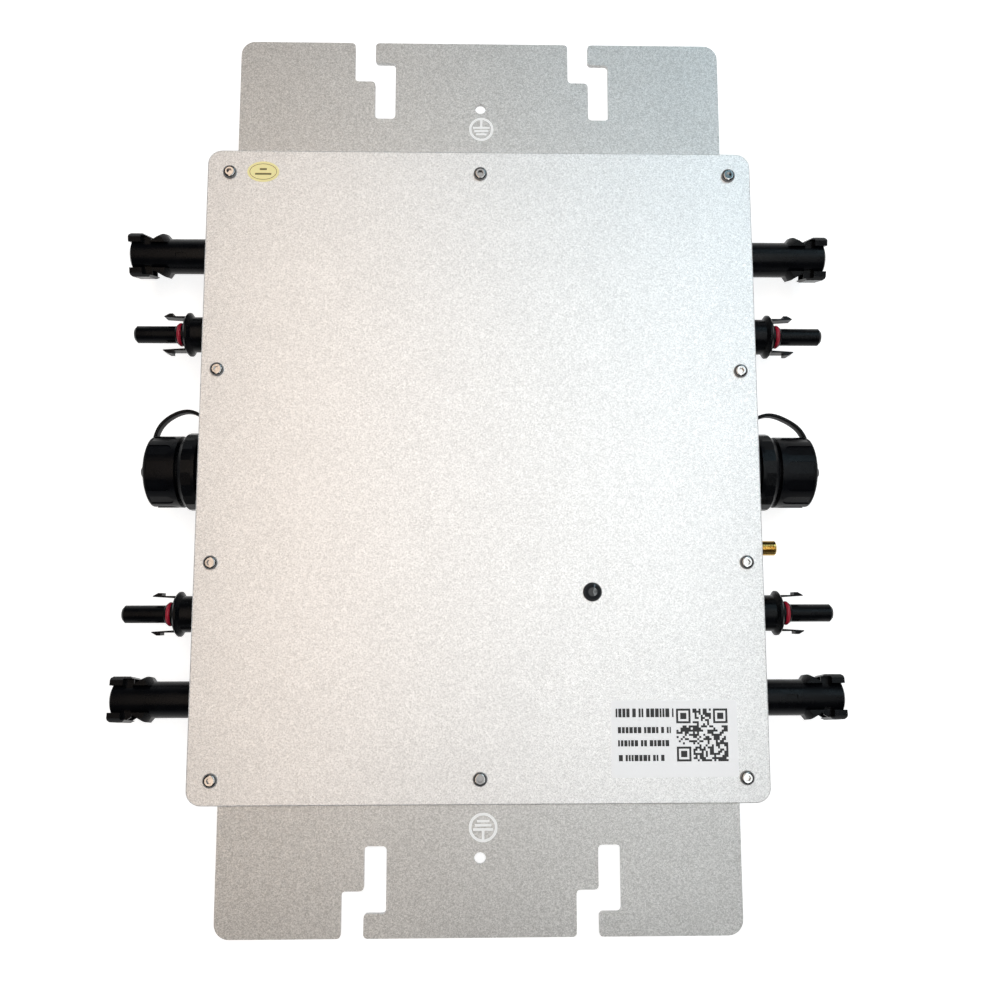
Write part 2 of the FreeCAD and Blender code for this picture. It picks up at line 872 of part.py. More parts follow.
def lid_screws():
    """Button heads with a hexagon socket, on short shanks."""
    head = rod("button_head", "button_head_radius", "button_head_height")
    head_rim = doc.addObject("Part::Fillet", "rounded_head")
    head_rim.Base = head
    doc.recompute()
    top_edge = next(n for n, edge in enumerate(head.Shape.Edges, 1) if lies_at(edge, head.Height.Value))
    head_rim.Edges = [(top_edge, size("button_head_round"), size("button_head_round"))]
    shank = rod("lid_screw_shank", "screw_shank_radius", "lid_screw_length", "-lid_screw_length")
    whole = fuse("lid_screw_blank", [head_rim, shank])
    recess = hexagon(
        "hexagon_recess", "button_hexagon_radius", "button_head_height", "button_hexagon_bottom"
    )
    screw = cut("lid_screw", whole, recess)
    group("lid_screws", screw, [(x, y, "housing_height + lid_thickness", None) for x, y in LID_SCREWS])


def mounting_plate_screws():
    """Flat-headed screws whose heads sit in the plates' countersinks, under the lid."""
    head = doc.addObject("Part::Cone", "flat_head")
    head.setExpression("Radius1", formula("screw_shank_radius"))
    head.setExpression("Radius2", formula("flat_head_radius"))
    head.setExpression("Height", formula("flat_head_height"))
    place(head, z="-flat_head_height")
    length = "plate_screw_length - flat_hexagon_depth"
    shank = rod("plate_screw_shank", "screw_shank_radius", length, "-plate_screw_length")
    whole = fuse("plate_screw_blank", [head, shank])
    recess = hexagon("plate_screw_recess", "flat_hexagon_radius", "flat_head_height", "-flat_hexagon_depth")
    screw = cut("plate_screw", whole, recess)
    spots = [(x, y, "housing_height - flat_head_sunk", None) for x, y in PLATE_SCREWS]
    group("mounting_plate_screws", screw, spots)


def status_light():
    """A dark domed cover in the lid, over the light-emitting diode that stands on the board."""
    cover = turned_solid(
        "status_light_cover",
        [
            ("-light_skirt", "light_bore"),
            ("-light_skirt", "light_hole - thread_gap"),
            ("0", "light_hole - thread_gap"),
            ("0", "light_flange_radius"),
            ("light_flange", "light_flange_radius"),
            ("light_side", "light_side_radius"),
            ("light_crown", "light_crown_radius"),
            ("light_top", "0"),
            ("light_inner_top", "0"),
            ("light_inner_side", "light_bore"),
        ],
    )
    place(cover, "light_x", "light_y", "housing_height + lid_thickness", FreeCAD.Rotation(0, -90, 0))
    keep(cover, "status_light_cover")

    lens = rod("diode_body", "diode_radius", "diode_shoulder - diode_bottom", "diode_bottom")
    dome = doc.addObject("Part::Cone", "diode_dome")
    dome.setExpression("Radius1", formula("diode_radius"))
    dome.setExpression("Radius2", formula("diode_dome_radius"))
    dome.setExpression("Height", formula("diode_dome"))
    place(dome, z="diode_shoulder")
    legs = []
    for hand in (-1, 1):
        leg = block("diode_leg", "diode_leg", "diode_leg", f"diode_bottom - ({BOARD_TOP})")
        legs.append(place(leg, f"({hand} * diode_leg_spacing - diode_leg) / 2", "-diode_leg / 2", BOARD_TOP))
    diode = fuse("status_diode", [lens, dome] + legs)
    place(diode, "light_x", "light_y")
    keep(diode, "status_led")


def label_and_sticker():
    sheet_of_film = block("label_blank", "label_width", "label_height", "label_thickness")
    label = doc.addObject("Part::Fillet", "rounded_label")
    label.Base = sheet_of_film
    doc.recompute()
    corner = size("label_corner")
    upright = [n for n, edge in enumerate(sheet_of_film.Shape.Edges, 1) if is_upright(edge)]
    label.Edges = [(number, corner, corner) for number in upright]
    place(label, "label_x", "label_y", "housing_height + lid_thickness")
    keep(label, "rating_label")

    oval = Part.Ellipse(FreeCAD.Vector(), size("sticker_width / 2"), size("sticker_height / 2"))
    face = Part.Face(Part.Wire(oval.toShape()))
    sticker = doc.addObject("Part::Feature", "inspection_sticker")
    sticker.Shape = face.extrude(FreeCAD.Vector(0, 0, size("label_thickness")))
    place(sticker, "sticker_x", "sticker_y", "housing_height + lid_thickness", FreeCAD.Rotation())
    keep(sticker, "inspection_sticker")


# ---------------------------------------------------------------- DC connectors


def dc_socket(side, level):
    """A panel socket: round body, wedge lobes, and a head with a guarded slot for each latch."""
    label = f"{side}_{level}_dc_socket"
    body = new_body(label)
    shell = new_sketch(body)
    polygon(
        shell,
        [
            ("-dc_rear", "contact_rear_radius + thread_gap"),
            ("-dc_rear", "dc_thread_radius"),
            ("dc_gasket", "dc_thread_radius"),
            ("dc_gasket", "socket_flange_radius"),
            ("socket_flange_end", "socket_flange_radius"),
            ("socket_flange_end", "socket_body_radius"),
            ("socket_tip - socket_tip_chamfer", "socket_body_radius"),
            ("socket_tip", "socket_mouth_radius + socket_lip"),
            ("socket_tip", "socket_mouth_radius"),
            ("socket_tip - socket_mouth_depth", "socket_mouth_radius"),
            ("socket_tip - socket_mouth_depth", "socket_bore_radius"),
            ("socket_bore_end", "socket_bore_radius"),
            ("socket_bore_end", "contact_rear_radius + thread_gap"),
        ],
    )
    revolve(body, shell)

    # the ears start above the bore, so that they do not fill it
    for hand, slope in ((1, "step"), (-1, "wedge")):
        ear = new_sketch(body)
        outline = [
            ("socket_lobe_start", "socket_ear_floor"),
            ("socket_lobe_start", "socket_ear_root"),
            ("socket_lobe_flat", "socket_ear"),
            ("socket_lobe_end", "socket_ear"),
            ("socket_lobe_front", "socket_ear_root"),
            ("socket_head_start", "socket_ear_root"),
            ("socket_head_start", f"socket_ear - socket_{slope}_rise"),
            (f"socket_head_start + socket_{slope}_run", "socket_ear"),
            ("socket_tip - socket_lip", "socket_ear"),
            ("socket_tip", "socket_ear - socket_lip"),
            ("socket_tip", "socket_ear_floor"),
        ]
        polygon(ear, [(x, f"{hand} * ({y})") for x, y in outline])
        pad(body, ear, "2 * socket_ear_half_depth", midplane=True)

    limit = new_sketch(body)
    polygon(
        limit,
        [
            ("socket_lobe_start", "socket_body_radius + fit_gap"),
            ("socket_lobe_start + socket_ear_cone", "socket_ear_limit"),
            ("2 * socket_tip", "socket_ear_limit"),
            ("2 * socket_tip", "2 * socket_ear_limit"),
            ("socket_lobe_start", "2 * socket_ear_limit"),
        ],
    )
    revolve(body, limit, "Groove")

    for hand in (1, -1):
        notch = new_sketch(body)
        edge = [
            ("socket_lobe_end", "socket_ear_limit + socket_lip"),
            ("socket_lobe_end", "socket_ear"),
            ("socket_notch_bottom", "socket_notch_half"),
            ("socket_head_start", "socket_notch_half"),
            ("socket_head_start", "socket_ear_limit + socket_lip"),
        ]
        polygon(notch, [(x, f"{hand} * ({y})") for x, y in edge])
        pocket(body, notch, "4 * socket_ear_half_depth", midplane=True)

        slot = new_sketch(body, "socket_tip", "YZ_Plane")
        rectangle(
            slot,
            f"{hand} * latch_slot_inside",
            "-latch_slot_half",
            f"{hand} * socket_guard_inside",
            "latch_slot_half",
        )
        pocket(body, slot, "socket_tip - socket_notch_bottom")

        for face in (1, -1):
            window = new_sketch(body, f"{face} * window_floor")
            rectangle(
                window,
                "socket_notch_bottom",
                f"{hand} * socket_window_inside",
                "socket_window_end",
                f"{hand} * socket_guard_inside",
            )
            pocket(body, window, "2 * socket_ear_half_depth", upwards=face == 1)

    marker = new_sketch(body, "marker_floor")
    rectangle(marker, "marker_x", "-marker_half", "marker_x + marker_length", "marker_half")
    pocket(body, marker, "socket_body_radius", upwards=True)
    keep(stand_on_wall(body, side, level_y(level, "socket_row"), socket_turn(side, level)), label)


def dc_plug(side, level):
    """A panel plug: base, crested collar, grooved neck for the O-ring, and a long barrel."""
    label = f"{side}_{level}_dc_plug"
    body = new_body(label)
    shell = new_sketch(body)
    polygon(
        shell,
        [
            ("-dc_rear", "contact_rear_radius + thread_gap"),
            ("-dc_rear", "dc_thread_radius"),
            ("dc_gasket", "dc_thread_radius"),
            ("dc_gasket", "plug_base_radius"),
            ("plug_collar_start", "plug_base_radius"),
            ("plug_collar_crest_start", "plug_collar_radius"),
            ("plug_collar_crest_end", "plug_collar_radius"),
            ("plug_collar_end", "plug_collar_edge_radius"),
            ("plug_collar_end", "plug_neck_radius"),
            ("plug_groove_start", "plug_neck_radius"),
            ("plug_groove_start", "plug_groove_radius"),
            ("plug_groove_end", "plug_groove_radius"),
            ("plug_groove_end", "plug_lip_radius"),
            ("plug_neck_end", "plug_lip_radius"),
            ("plug_barrel_start", "plug_barrel_radius"),
            ("plug_tip - plug_tip_chamfer", "plug_barrel_radius"),
            ("plug_tip", "plug_barrel_radius - plug_tip_chamfer"),
            ("plug_tip", "contact_rear_radius + thread_gap"),
        ],
    )
    revolve(body, shell)
    keep(stand_on_wall(body, side, level_y(level, "plug_row")), label)


def dc_plug_latch(side, level, name, flip):
    """One snap arm: its round root bears on the collar, where the real one bends."""
    label = f"{side}_{level}_dc_plug_latch_{name}"
    body = new_body(label)
    outline = new_sketch(body)
    polygon(
        outline,
        [
            ("latch_start", "latch_inside"),
            ("latch_start", "latch_outside"),
            ("latch_barb_start", "latch_outside"),
            ("latch_barb_start", "latch_barb_height"),
            ("latch_barb_top", "latch_barb_height"),
            ("latch_tip", "latch_tip_height"),
            ("latch_tip - latch_tip_round", "latch_tip_height - latch_tip_round"),
        ],
    )
    pad(body, outline, "latch_width", midplane=True)
    start = size("latch_start")

    def at_root(edge):
        return is_upright(edge) and abs(edge.Vertexes[0].X - start) < NEARLY_ZERO

    soften(body, "latch_round", at_root)
    turn = 180.0 if flip else 0.0
    keep(stand_on_wall(body, side, level_y(level, "plug_row"), turn), label)


def spots_on_walls(row, distance="0"):
    """The four places of one connector row, for copies that are drawn along +X."""
    return [
        (along_wall(side, distance), level_y(level, row), "axis_height", outward(side))
        for side, level in CONNECTOR_SPOTS
    ]


def turned_solid(name, points):
    """A solid of revolution about X, from (x, radius) corners."""
    body = new_body(name)
    profile = new_sketch(body)
    polygon(profile, points)
    revolve(body, profile)
    return body


def dc_contacts():
    pin = turned_solid(
        "socket_contact",
        [
            ("-dc_rear", "0"),
            ("-dc_rear", "contact_rear_radius"),
            ("socket_bore_end", "contact_rear_radius"),
            ("socket_bore_end", "contact_pin_radius"),
            ("contact_pin_tip - contact_pin_chamfer", "contact_pin_radius"),
            ("contact_pin_tip", "contact_pin_radius - contact_pin_chamfer"),
            ("contact_pin_tip", "0"),
        ],
    )
    group("dc_socket_contacts", pin, spots_on_walls("socket_row"))
    sleeve = turned_solid(
        "plug_contact",
        [
            ("-dc_rear", "0"),
            ("-dc_rear", "contact_rear_radius"),
            ("plug_tip - sleeve_recess", "contact_rear_radius"),
            ("plug_tip - sleeve_recess", "sleeve_bore"),
            ("plug_barrel_start", "sleeve_bore"),
            ("plug_barrel_start", "0"),
        ],
    )
    group("dc_plug_contacts", sleeve, spots_on_walls("plug_row"))


def dc_seals():
    ring = doc.addObject("Part::Torus", "plug_o_ring")
    ring.setExpression("Radius1", formula("o_ring_major"))
    ring.setExpression("Radius2", formula("o_ring_minor"))
    middle = "(plug_groove_start + plug_groove_end) / 2"
    upright = FreeCAD.Rotation(FreeCAD.Vector(0, 1, 0), 90)
    places = [
        (along_wall(side, middle), level_y(level, "plug_row"), "axis_height", upright)
        for side, level in CONNECTOR_SPOTS
    ]
    group("dc_plug_o_rings", ring, places)

    gasket = turned_solid(
        "panel_gasket",
        [
            ("0", "dc_thread_radius + thread_gap"),
            ("0", "plug_base_radius - fit_gap"),
            ("dc_gasket", "plug_base_radius - fit_gap"),
            ("dc_gasket", "dc_thread_radius + thread_gap"),
        ],
    )
    group("dc_connector_gaskets", gasket, spots_on_walls("socket_row") + spots_on_walls("plug_row"))


def hexagon_nut(name, across_flats, bore, height):
    """A nut along Z whose bore is a little wider than the thread that it holds."""
    blank = hexagon(name + "_blank", f"({across_flats}) / 2 / cos(30)", height, "0")
    hole = rod(name + "_bore", bore, height)
    return cut(name, blank, hole)


def nut_spots(row_spots):
    """Nuts lie against the inside of the wall."""
    upright = FreeCAD.Vector(0, 1, 0)
    turned = {LEFT: FreeCAD.Rotation(upright, 90), RIGHT: FreeCAD.Rotation(upright, -90)}
    return [(along_wall(side, "-wall"), y, "axis_height", turned[side]) for side, y in row_spots]


def connector_nuts():
    dc_nut = hexagon_nut("dc_nut", "dc_nut_flats", "dc_thread_radius + thread_gap", "nut_height")
    dc_rows = [
        (side, level_y(level, row)) for side, level in CONNECTOR_SPOTS for row in ("socket_row", "plug_row")
    ]
    group("dc_connector_nuts", dc_nut, nut_spots(dc_rows))
    ac_nut = hexagon_nut("ac_nut", "ac_nut_flats", "ac_thread_radius + thread_gap", "nut_height")
    group("ac_connector_nuts", ac_nut, nut_spots([(LEFT, "0"), (RIGHT, "0")]))


# ---------------------------------------------------------------- AC connectors


CAP_START = "(ac_collar_end + cap_gap)"


def cap_size(side, name):
    """A distance along a cap from its open end: the right cap is the longer one."""
    return f"({name} + right_cap_extra)" if side == RIGHT else name


def ac_connector(side):
    label = f"{side}_ac_connector"
    body = new_body(label)
    shell = new_sketch(body)
    polygon(
        shell,
        [
            ("-ac_rear", "ac_wire_bore"),
            ("-ac_rear", "ac_thread_radius"),
            ("ac_gasket", "ac_thread_radius"),
            ("ac_gasket", "ac_flange_radius"),
            ("ac_neck_start", "ac_flange_radius"),
            ("ac_neck_start", "ac_neck_radius"),
            ("ac_neck_end", "ac_neck_radius"),
            ("ac_neck_end", "ac_collar_radius"),
            ("ac_collar_end - ac_collar_cone", "ac_collar_radius"),
            ("ac_collar_end", "ac_collar_cone_radius"),
            ("ac_collar_end", "ac_spigot_radius"),
            ("ac_collar_end + ac_spigot_length", "ac_spigot_radius"),
            ("ac_collar_end + ac_spigot_length", "ac_bore_radius"),
            ("ac_bore_bottom", "ac_bore_radius"),
            ("ac_bore_bottom", "ac_wire_bore"),
        ],
    )
    revolve(body, shell)
    facet = new_sketch(body, "ac_collar_radius - ac_facet_depth")
    rectangle(facet, "ac_facet_start", "-ac_facet_half", "ac_collar_end", "ac_facet_half")
    first = pocket(body, facet, "wall", upwards=True)
    repeat_around(body, first, "X_Axis", "ac_facet_count")
    keep(stand_on_wall(body, side, "0"), label)


def ac_cap(side):
    """The screw cap: finger flutes round its outside, and a button that holds the tether."""
    label = f"{side}_ac_cap"

    def along(name):
        return cap_size(side, name)

    body = turned_solid(
        label,
        [
            ("0", "cap_bore_radius"),
            ("0", "cap_radius"),
            (along("cap_shoulder"), "cap_radius"),
            (along("cap_shoulder"), "cap_shoulder_radius"),
            (along("cap_cone"), "cap_cone_radius"),
            (along("cap_face"), "cap_hub_radius"),
            (along("cap_face"), "cap_post_radius"),
            (along("cap_head"), "cap_post_radius"),
            (along("cap_head"), "cap_head_radius"),
            (along("cap_tip - cap_head_edge"), "cap_head_radius"),
            (along("cap_tip"), "cap_head_radius - cap_head_chamfer"),
            (along("cap_tip"), "0"),
            (along("cap_bore_depth"), "0"),
            (along("cap_bore_depth"), "cap_bore_radius"),
        ],
    )
    flute = new_sketch(body, "cap_radius - grip_depth")
    middle = "(grip_start + grip_half)"
    rectangle(flute, middle, "-grip_half", along("cap_tip"), "grip_half")
    straight = pocket(body, flute, "wall", upwards=True)
    repeat_around(body, straight, "X_Axis", "grip_count")
    flute_end = new_sketch(body, "cap_radius - grip_depth")
    circle(flute_end, middle, "0", "grip_end_radius")
    rounded = pocket(body, flute_end, "wall", upwards=True)
    repeat_around(body, rounded, "X_Axis", "grip_count")
    keep(place(body, along_wall(side, CAP_START), "0", "axis_height", outward(side)), label)


TETHER_ROUTES = {
    LEFT: [(3.8, 14.6), (4.4, 20.8), (8.1, 25.3), (14.1, 26.6), (21.1, 23.4), (25.6, 18.2), (26.3, 14.0)],
    RIGHT: [(3.8, 14.6), (4.1, 20.5), (7.5, 24.2), (14.0, 25.6), (22.3, 21.9), (27.1, 17.6), (28.3, 14.0)],
}


def ac_cap_tether(side):
    """One rubber moulding: a ring round the connector's neck, a strap, and a domed end disc."""
    label = f"{side}_ac_cap_tether"
    start = size(CAP_START)
    gap = size("tether_gap")
    route = [(x, y, 0) for x, y in TETHER_ROUTES[side]]
    thick = size("tether_thickness") / 2
    half = size("tether_width") / 2
    path = round_route(route)
    into = (FreeCAD.Vector(*route[1]) - FreeCAD.Vector(*route[0])).normalize()
    across = FreeCAD.Vector(-into.y, into.x, 0)
    corners = [
        FreeCAD.Vector(*route[0]) + across * (a * thick) + FreeCAD.Vector(0, 0, b * half)
        for a, b in ((-1, -1), (1, -1), (1, 1), (-1, 1), (-1, -1))
    ]
    strap = sweep(Part.makePolygon(corners), path, 4 * thick * half)

    axis = FreeCAD.Vector(1, 0, 0)
    neck = FreeCAD.Vector(size("ac_neck_start + tether_gap"), 0, 0)
    width = size("ac_neck_end - ac_neck_start - 2 * tether_gap")
    ring = Part.makeCylinder(size("ac_neck_radius + tether_ring_wall"), width, neck, axis)
    ring = ring.cut(Part.makeCylinder(size("ac_neck_radius") + gap, width, neck, axis))

    inner = [
        ("cap_shoulder", "cap_radius - fit_gap"),
        ("cap_shoulder", "cap_shoulder_radius"),
        ("cap_cone", "cap_cone_radius"),
        ("cap_face", "cap_hub_radius"),
        ("cap_face", "cap_post_radius + tether_gap"),
    ]
    inner = [(size(cap_size(side, x)) + gap, size(radius)) for x, radius in inner]
    outer = [
        ("cap_head - fit_gap", "cap_post_radius + tether_gap"),
        ("cap_head - fit_gap", "tether_disc_hub"),
        ("cap_cone + tether_disc_rise", "cap_cone_radius + 2 * tether_gap"),
        ("cap_shoulder + tether_rim_rise", "cap_radius - 2 * tether_gap"),
    ]
    outer = [(size(cap_size(side, x)), size(radius)) for x, radius in outer]
    outline = [FreeCAD.Vector(start + x, radius, 0) for x, radius in inner + outer]
    disc = Part.Face(Part.makePolygon(outline + outline[:1])).revolve(FreeCAD.Vector(), axis, 360)

    tether = doc.addObject("Part::Feature", label)
    tether.Shape = ring.fuse([strap, disc]).removeSplitter()
    keep(stand_on_wall(tether, side, "0", 180.0 if side == LEFT else 0.0), label)


def ac_small_parts():
    """Contact inserts behind the ports, and panel gaskets."""
    insert = turned_solid(
        "contact_insert",
        [
            ("ac_bore_bottom + fit_gap", "0"),
            ("ac_bore_bottom + fit_gap", "ac_insert_radius"),
            ("ac_insert_front", "ac_insert_radius"),
            ("ac_insert_front", "0"),
        ],
    )
    holes = new_sketch(insert, "ac_insert_front", "YZ_Plane")
    for angle in (90, 210, 330):
        circle(holes, f"ac_pin_circle * cos({angle})", f"ac_pin_circle * sin({angle})", "ac_pin_hole")
    pocket(insert, holes, "ac_pin_depth")
    places = [(along_wall(side, "0"), "0", "axis_height", outward(side)) for side in (LEFT, RIGHT)]
    group("ac_contact_inserts", insert, places)

    gasket = turned_solid(
        "ac_panel_gasket",
        [
            ("0", "ac_thread_radius + thread_gap"),
            ("0", "ac_flange_radius - fit_gap"),
            ("ac_gasket", "ac_flange_radius - fit_gap"),
            ("ac_gasket", "ac_thread_radius + thread_gap"),
        ],
    )
    group("ac_connector_gaskets", gasket, places)


def antenna_jack():
    """A threaded brass coaxial jack with a flange inside the wall and a nut outside."""
    body = turned_solid(
        "antenna_jack",
        [
            ("-jack_rear", "0"),
            ("-jack_rear", "jack_tail_radius"),
            ("-wall - jack_flange", "jack_tail_radius"),
            ("-wall - jack_flange", "jack_flange_radius"),
            ("-wall", "jack_flange_radius"),
            ("-wall", "jack_radius"),
            ("jack_tip - jack_tip_chamfer", "jack_radius"),
            ("jack_tip", "jack_radius - jack_tip_chamfer"),
            ("jack_tip", "jack_bore_radius"),
            ("jack_tip - jack_bore_depth", "jack_bore_radius"),
            ("jack_tip - jack_bore_depth", "0"),
        ],
    )
    turn = new_sketch(body)
    polygon(
        turn,
        [
            ("jack_thread_start", "jack_radius + fit_gap"),
            ("jack_thread_start + jack_thread_mouth / 2", "jack_root_radius"),
            ("jack_thread_start + jack_thread_mouth", "jack_radius + fit_gap"),
        ],
    )
    first = revolve(body, turn, "Groove")
    repeat_along(body, first, "X_Axis", "jack_thread_pitch", "jack_thread_count")
    keep(stand_on_wall(body, RIGHT, "antenna_row"), "antenna_jack")

    insulator = turned_solid(
        "antenna_jack_insulator",
        [
            ("jack_tip - jack_bore_depth", "jack_pin_radius"),
            ("jack_tip - jack_bore_depth", "jack_bore_radius - thread_gap"),
            ("jack_tip - jack_insulator_step", "jack_bore_radius - thread_gap"),
            ("jack_tip - jack_insulator_step", "jack_pin_radius"),
        ],
    )
    keep(stand_on_wall(insulator, RIGHT, "antenna_row"), "antenna_jack_insulator")

    nut = hexagon_nut("antenna_nut", "jack_nut_flats", "jack_radius + thread_gap", "jack_nut_height")
    facing = FreeCAD.Rotation(FreeCAD.Vector(0, 1, 0), 90)
    start = along_wall(RIGHT, "jack_nut_start")
    group("antenna_jack_nut", nut, [(start, "antenna_row", "axis_height", facing)])


# ---------------------------------------------------------------- inside the box

CAN_COLUMNS = (22, 40, 58)
TRANSISTOR_COLUMNS = (15, 45)


def circuit_board():
    board = block("board_blank", "board_width", "board_length", "board_thickness")
    place(board, "-board_width / 2", "-board_length / 2", "board_bottom")
    hole = rod("board_hole", "lid_screw_hole", "board_thickness", "board_bottom")
    spots = []
    for x, y in BOARD_SCREWS:
        copy = doc.addObject("App::Link", "board_hole_copy")
        copy.LinkedObject = hole
        spots.append(place(copy, x, y, "board_bottom", FreeCAD.Rotation(), prefix="LinkPlacement"))
    holes = doc.addObject("Part::Compound", "board_holes")
    holes.Links = spots
    keep(cut("main_circuit_board", board, holes), "main_circuit_board")

    head = rod("board_screw_head", "board_screw_head", "board_screw_head_height")
    shank = rod("board_screw_shank", "screw_shank_radius", "board_screw_length", "-board_screw_length")
    screw = fuse("board_screw", [head, shank])
    group("circuit_board_screws", screw, [(x, y, BOARD_TOP, None) for x, y in BOARD_SCREWS])


def power_stage():
    """What turns the current over: transformers, capacitors and transistors on their pads."""
    core = block("transformer_core", "core_width", "core_length", "core_height")
    winding = block("transformer_winding", "winding_width", "winding_length", "winding_height")
    transformer = fuse("transformer", [core, winding])
    spots = [
        (f"{a} * transformer_x", f"{b} * transformer_y", BOARD_TOP, None) for a in (-1, 1) for b in (-1, 1)
    ]
    group("flyback_transformers", transformer, spots)

    can = rod("capacitor_can", "can_radius", "can_height")
    corners = [(a, b) for a in (-1, 1) for b in (-1, 1)]
    spots = [(f"{a} * {x}", f"{b} * can_y", BOARD_TOP, None) for x in CAN_COLUMNS for a, b in corners]
    group("electrolytic_capacitors", can, spots)

    film = block("film_capacitor", "film_width", "film_length", "film_height")
    group("film_capacitors", film, [(f"{a} * film_x", "0", BOARD_TOP, None) for a in (-1, 1)])

    package = block("transistor_body", "transistor_width", "transistor_length", "transistor_height")
    tab = block("transistor_tab", "transistor_width", "tab_length", "tab_thickness")
    place(tab, "-transistor_width / 2", "transistor_length / 2 - fit_gap")
    transistor = fuse("transistor", [package, tab])
    grid = [
        (f"{a} * {x}", f"{b} * transistor_y") for x in TRANSISTOR_COLUMNS for a in (-1, 1) for b in (-1, 1)
    ]
    on_pads = "floor_top + thermal_pad_thickness"
    group("power_transistors", transistor, [(x, y, on_pads, None) for x, y in grid])
    pad_sheet = block("thermal_pad", "thermal_pad_width", "thermal_pad_length", "thermal_pad_thickness")
    middle = "tab_length / 2"
    group("thermal_pads", pad_sheet, [(x, f"{y} + {middle}", "floor_top", None) for x, y in grid])


def output_stage():
    """The filter choke, the relay, the controller and the radio module with its aerial socket."""
    choke = doc.addObject("Part::Torus", "filter_choke")
    choke.setExpression("Radius1", formula("choke_radius"))
    choke.setExpression("Radius2", formula("choke_section"))
    place(choke, "choke_x", "choke_y", BOARD_TOP + " + choke_section")
    keep(choke, "filter_choke")

    relay = block("output_relay", "relay_width", "relay_length", "relay_height")
    place(relay, "-relay_width / 2", "relay_y - relay_length / 2", BOARD_TOP)
    keep(relay, "output_relay")
    chip = block("controller_chip", "chip_width", "chip_width", "chip_height")
    place(chip, "chip_x - chip_width / 2", "chip_y - chip_width / 2", BOARD_TOP)
    keep(chip, "controller_chip")

    module = block("module_board", "module_width", "module_length", "module_thickness")
    shield = block("module_shield", "shield_width", "shield_length", "shield_height")
    place(shield, "shield_x - shield_width / 2", "-shield_length / 2", "module_thickness")
    socket = rod("module_socket", "jack_socket_radius", "shield_height")
    place(socket, "jack_socket_x")
    radio = fuse("radio_module", [module, shield, socket])
    place(radio, "module_x", "module_y", BOARD_TOP)
    keep(radio, "wireless_module")


def wire_group(label, solids):
    item = doc.addObject("Part::Feature", label)
    item.Shape = Part.makeCompound(solids)
    item.Placement = FreeCAD.Placement()
    keep(item, label)


def dc_wires():
    """Leads from the DC connectors' rear ends over the board's edge and down to its surface."""
    axis = size("axis_height")
    high = size("axis_height + wire_rise")
    landing = size("wire_landing")
    start = size("housing_width / 2 - dc_rear")
    run = [
        (start, axis),
        (size("dc_wire_level_x"), axis),
        (size("dc_wire_climb_x"), high),
        (landing, high),
        (landing, size(BOARD_TOP)),
    ]
    leads = []
    for side, level in CONNECTOR_SPOTS:
        for row in ("socket_row", "plug_row"):
            y = size(level_y(level, row))
            leads.append(tube([(size(sign(side)) * x, y, z) for x, z in run], size("dc_wire_radius")))
    wire_group("dc_wires", leads)


def ac_wires():
    """Three leads from each AC connector, which fan out over the board's edge."""
    axis = size("axis_height")
    high = size("axis_height + wire_rise + ac_wire_clearance")
    landing = size("wire_landing")
    start = size("housing_width / 2 - ac_rear")
    side_y = size("ac_wire_side")
    low_z = axis + size("ac_wire_low")
    leads = []
    for side in (LEFT, RIGHT):
        for y, z in ((-side_y, low_z), (0.0, axis + size("ac_wire_high")), (side_y, low_z)):
            fanned = y * size("ac_wire_fan")
            spread = y * size("ac_wire_spread")
            run = [
                (start + size("ac_wire_in_bore"), y, z),
                (start - size("ac_wire_straight"), y, z),
                (start - size("ac_wire_climb"), fanned, high),
                (landing, spread, high),
                (landing, spread, size(BOARD_TOP)),
            ]
            points = [(size(sign(side)) * x, across, height) for x, across, height in run]
            leads.append(tube(points, size("ac_wire_radius")))
    wire_group("ac_wires", leads)


def antenna_lead():
    """A thin coaxial lead from the jack to the radio module's socket."""
    y = size("antenna_row")
    axis = size("axis_height")
    top = axis + size("lead_rise")
    socket_x = size("module_x + jack_socket_x")
    run = [
        (size("housing_width / 2 - jack_rear"), axis),
        (size("lead_level_x"), axis),
        (size("lead_climb_x"), axis + size("lead_climb")),
        (size("lead_top_x"), top),
        (socket_x, top),
        (socket_x, size(BOARD_TOP + " + shield_height")),
    ]
    wire_group("antenna_lead", [tube([(x, y, z) for x, z in run], size("antenna_lead_radius"))])


# ---------------------------------------------------------------- build, check, write

base_housing()
lid_plate()
lid_gasket()
mounting_plate("upper_mounting_plate", 1)
mounting_plate("lower_mounting_plate", -1)
lid_screws()
mounting_plate_screws()
status_light()
label_and_sticker()
for spot_side, spot_level in CONNECTOR_SPOTS:
    dc_socket(spot_side, spot_level)
    dc_plug(spot_side, spot_level)
    dc_plug_latch(spot_side, spot_level, "a", flip=False)
    dc_plug_latch(spot_side, spot_level, "b", flip=True)
dc_contacts()
dc_seals()
connector_nuts()
for spot_side in (LEFT, RIGHT):
    ac_connector(spot_side)
    ac_cap(spot_side)
    ac_cap_tether(spot_side)
ac_small_parts()
antenna_jack()
circuit_board()
power_stage()
output_stage()
dc_wires()
ac_wires()
antenna_lead()
doc.recompute()

for item in doc.Objects:
    if "Invalid" in item.State or "Error" in item.State:
        raise RuntimeError(f"{item.Label} failed: {item.State}")
os.makedirs("parts", exist_ok=True)
for node in nodes:
    if node.Shape.isNull() or not node.Shape.isValid():
        raise RuntimeError(f"{node.Label} has no valid shape")
    node.Shape.exportStep(f"parts/{node.Label}.step")
    print(node.Label, len(node.Shape.Solids), round(node.Shape.Volume, 1))
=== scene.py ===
# The looks of a micro inverter: a silver sparkle-coated box with black connectors on its sides.
# Everything is in metres, in the frame of the CAD model: +X right, +Y up the lid, +Z out of the lid.

import json
import math
import random

import bmesh
import bpy
from mathutils import Matrix, Vector


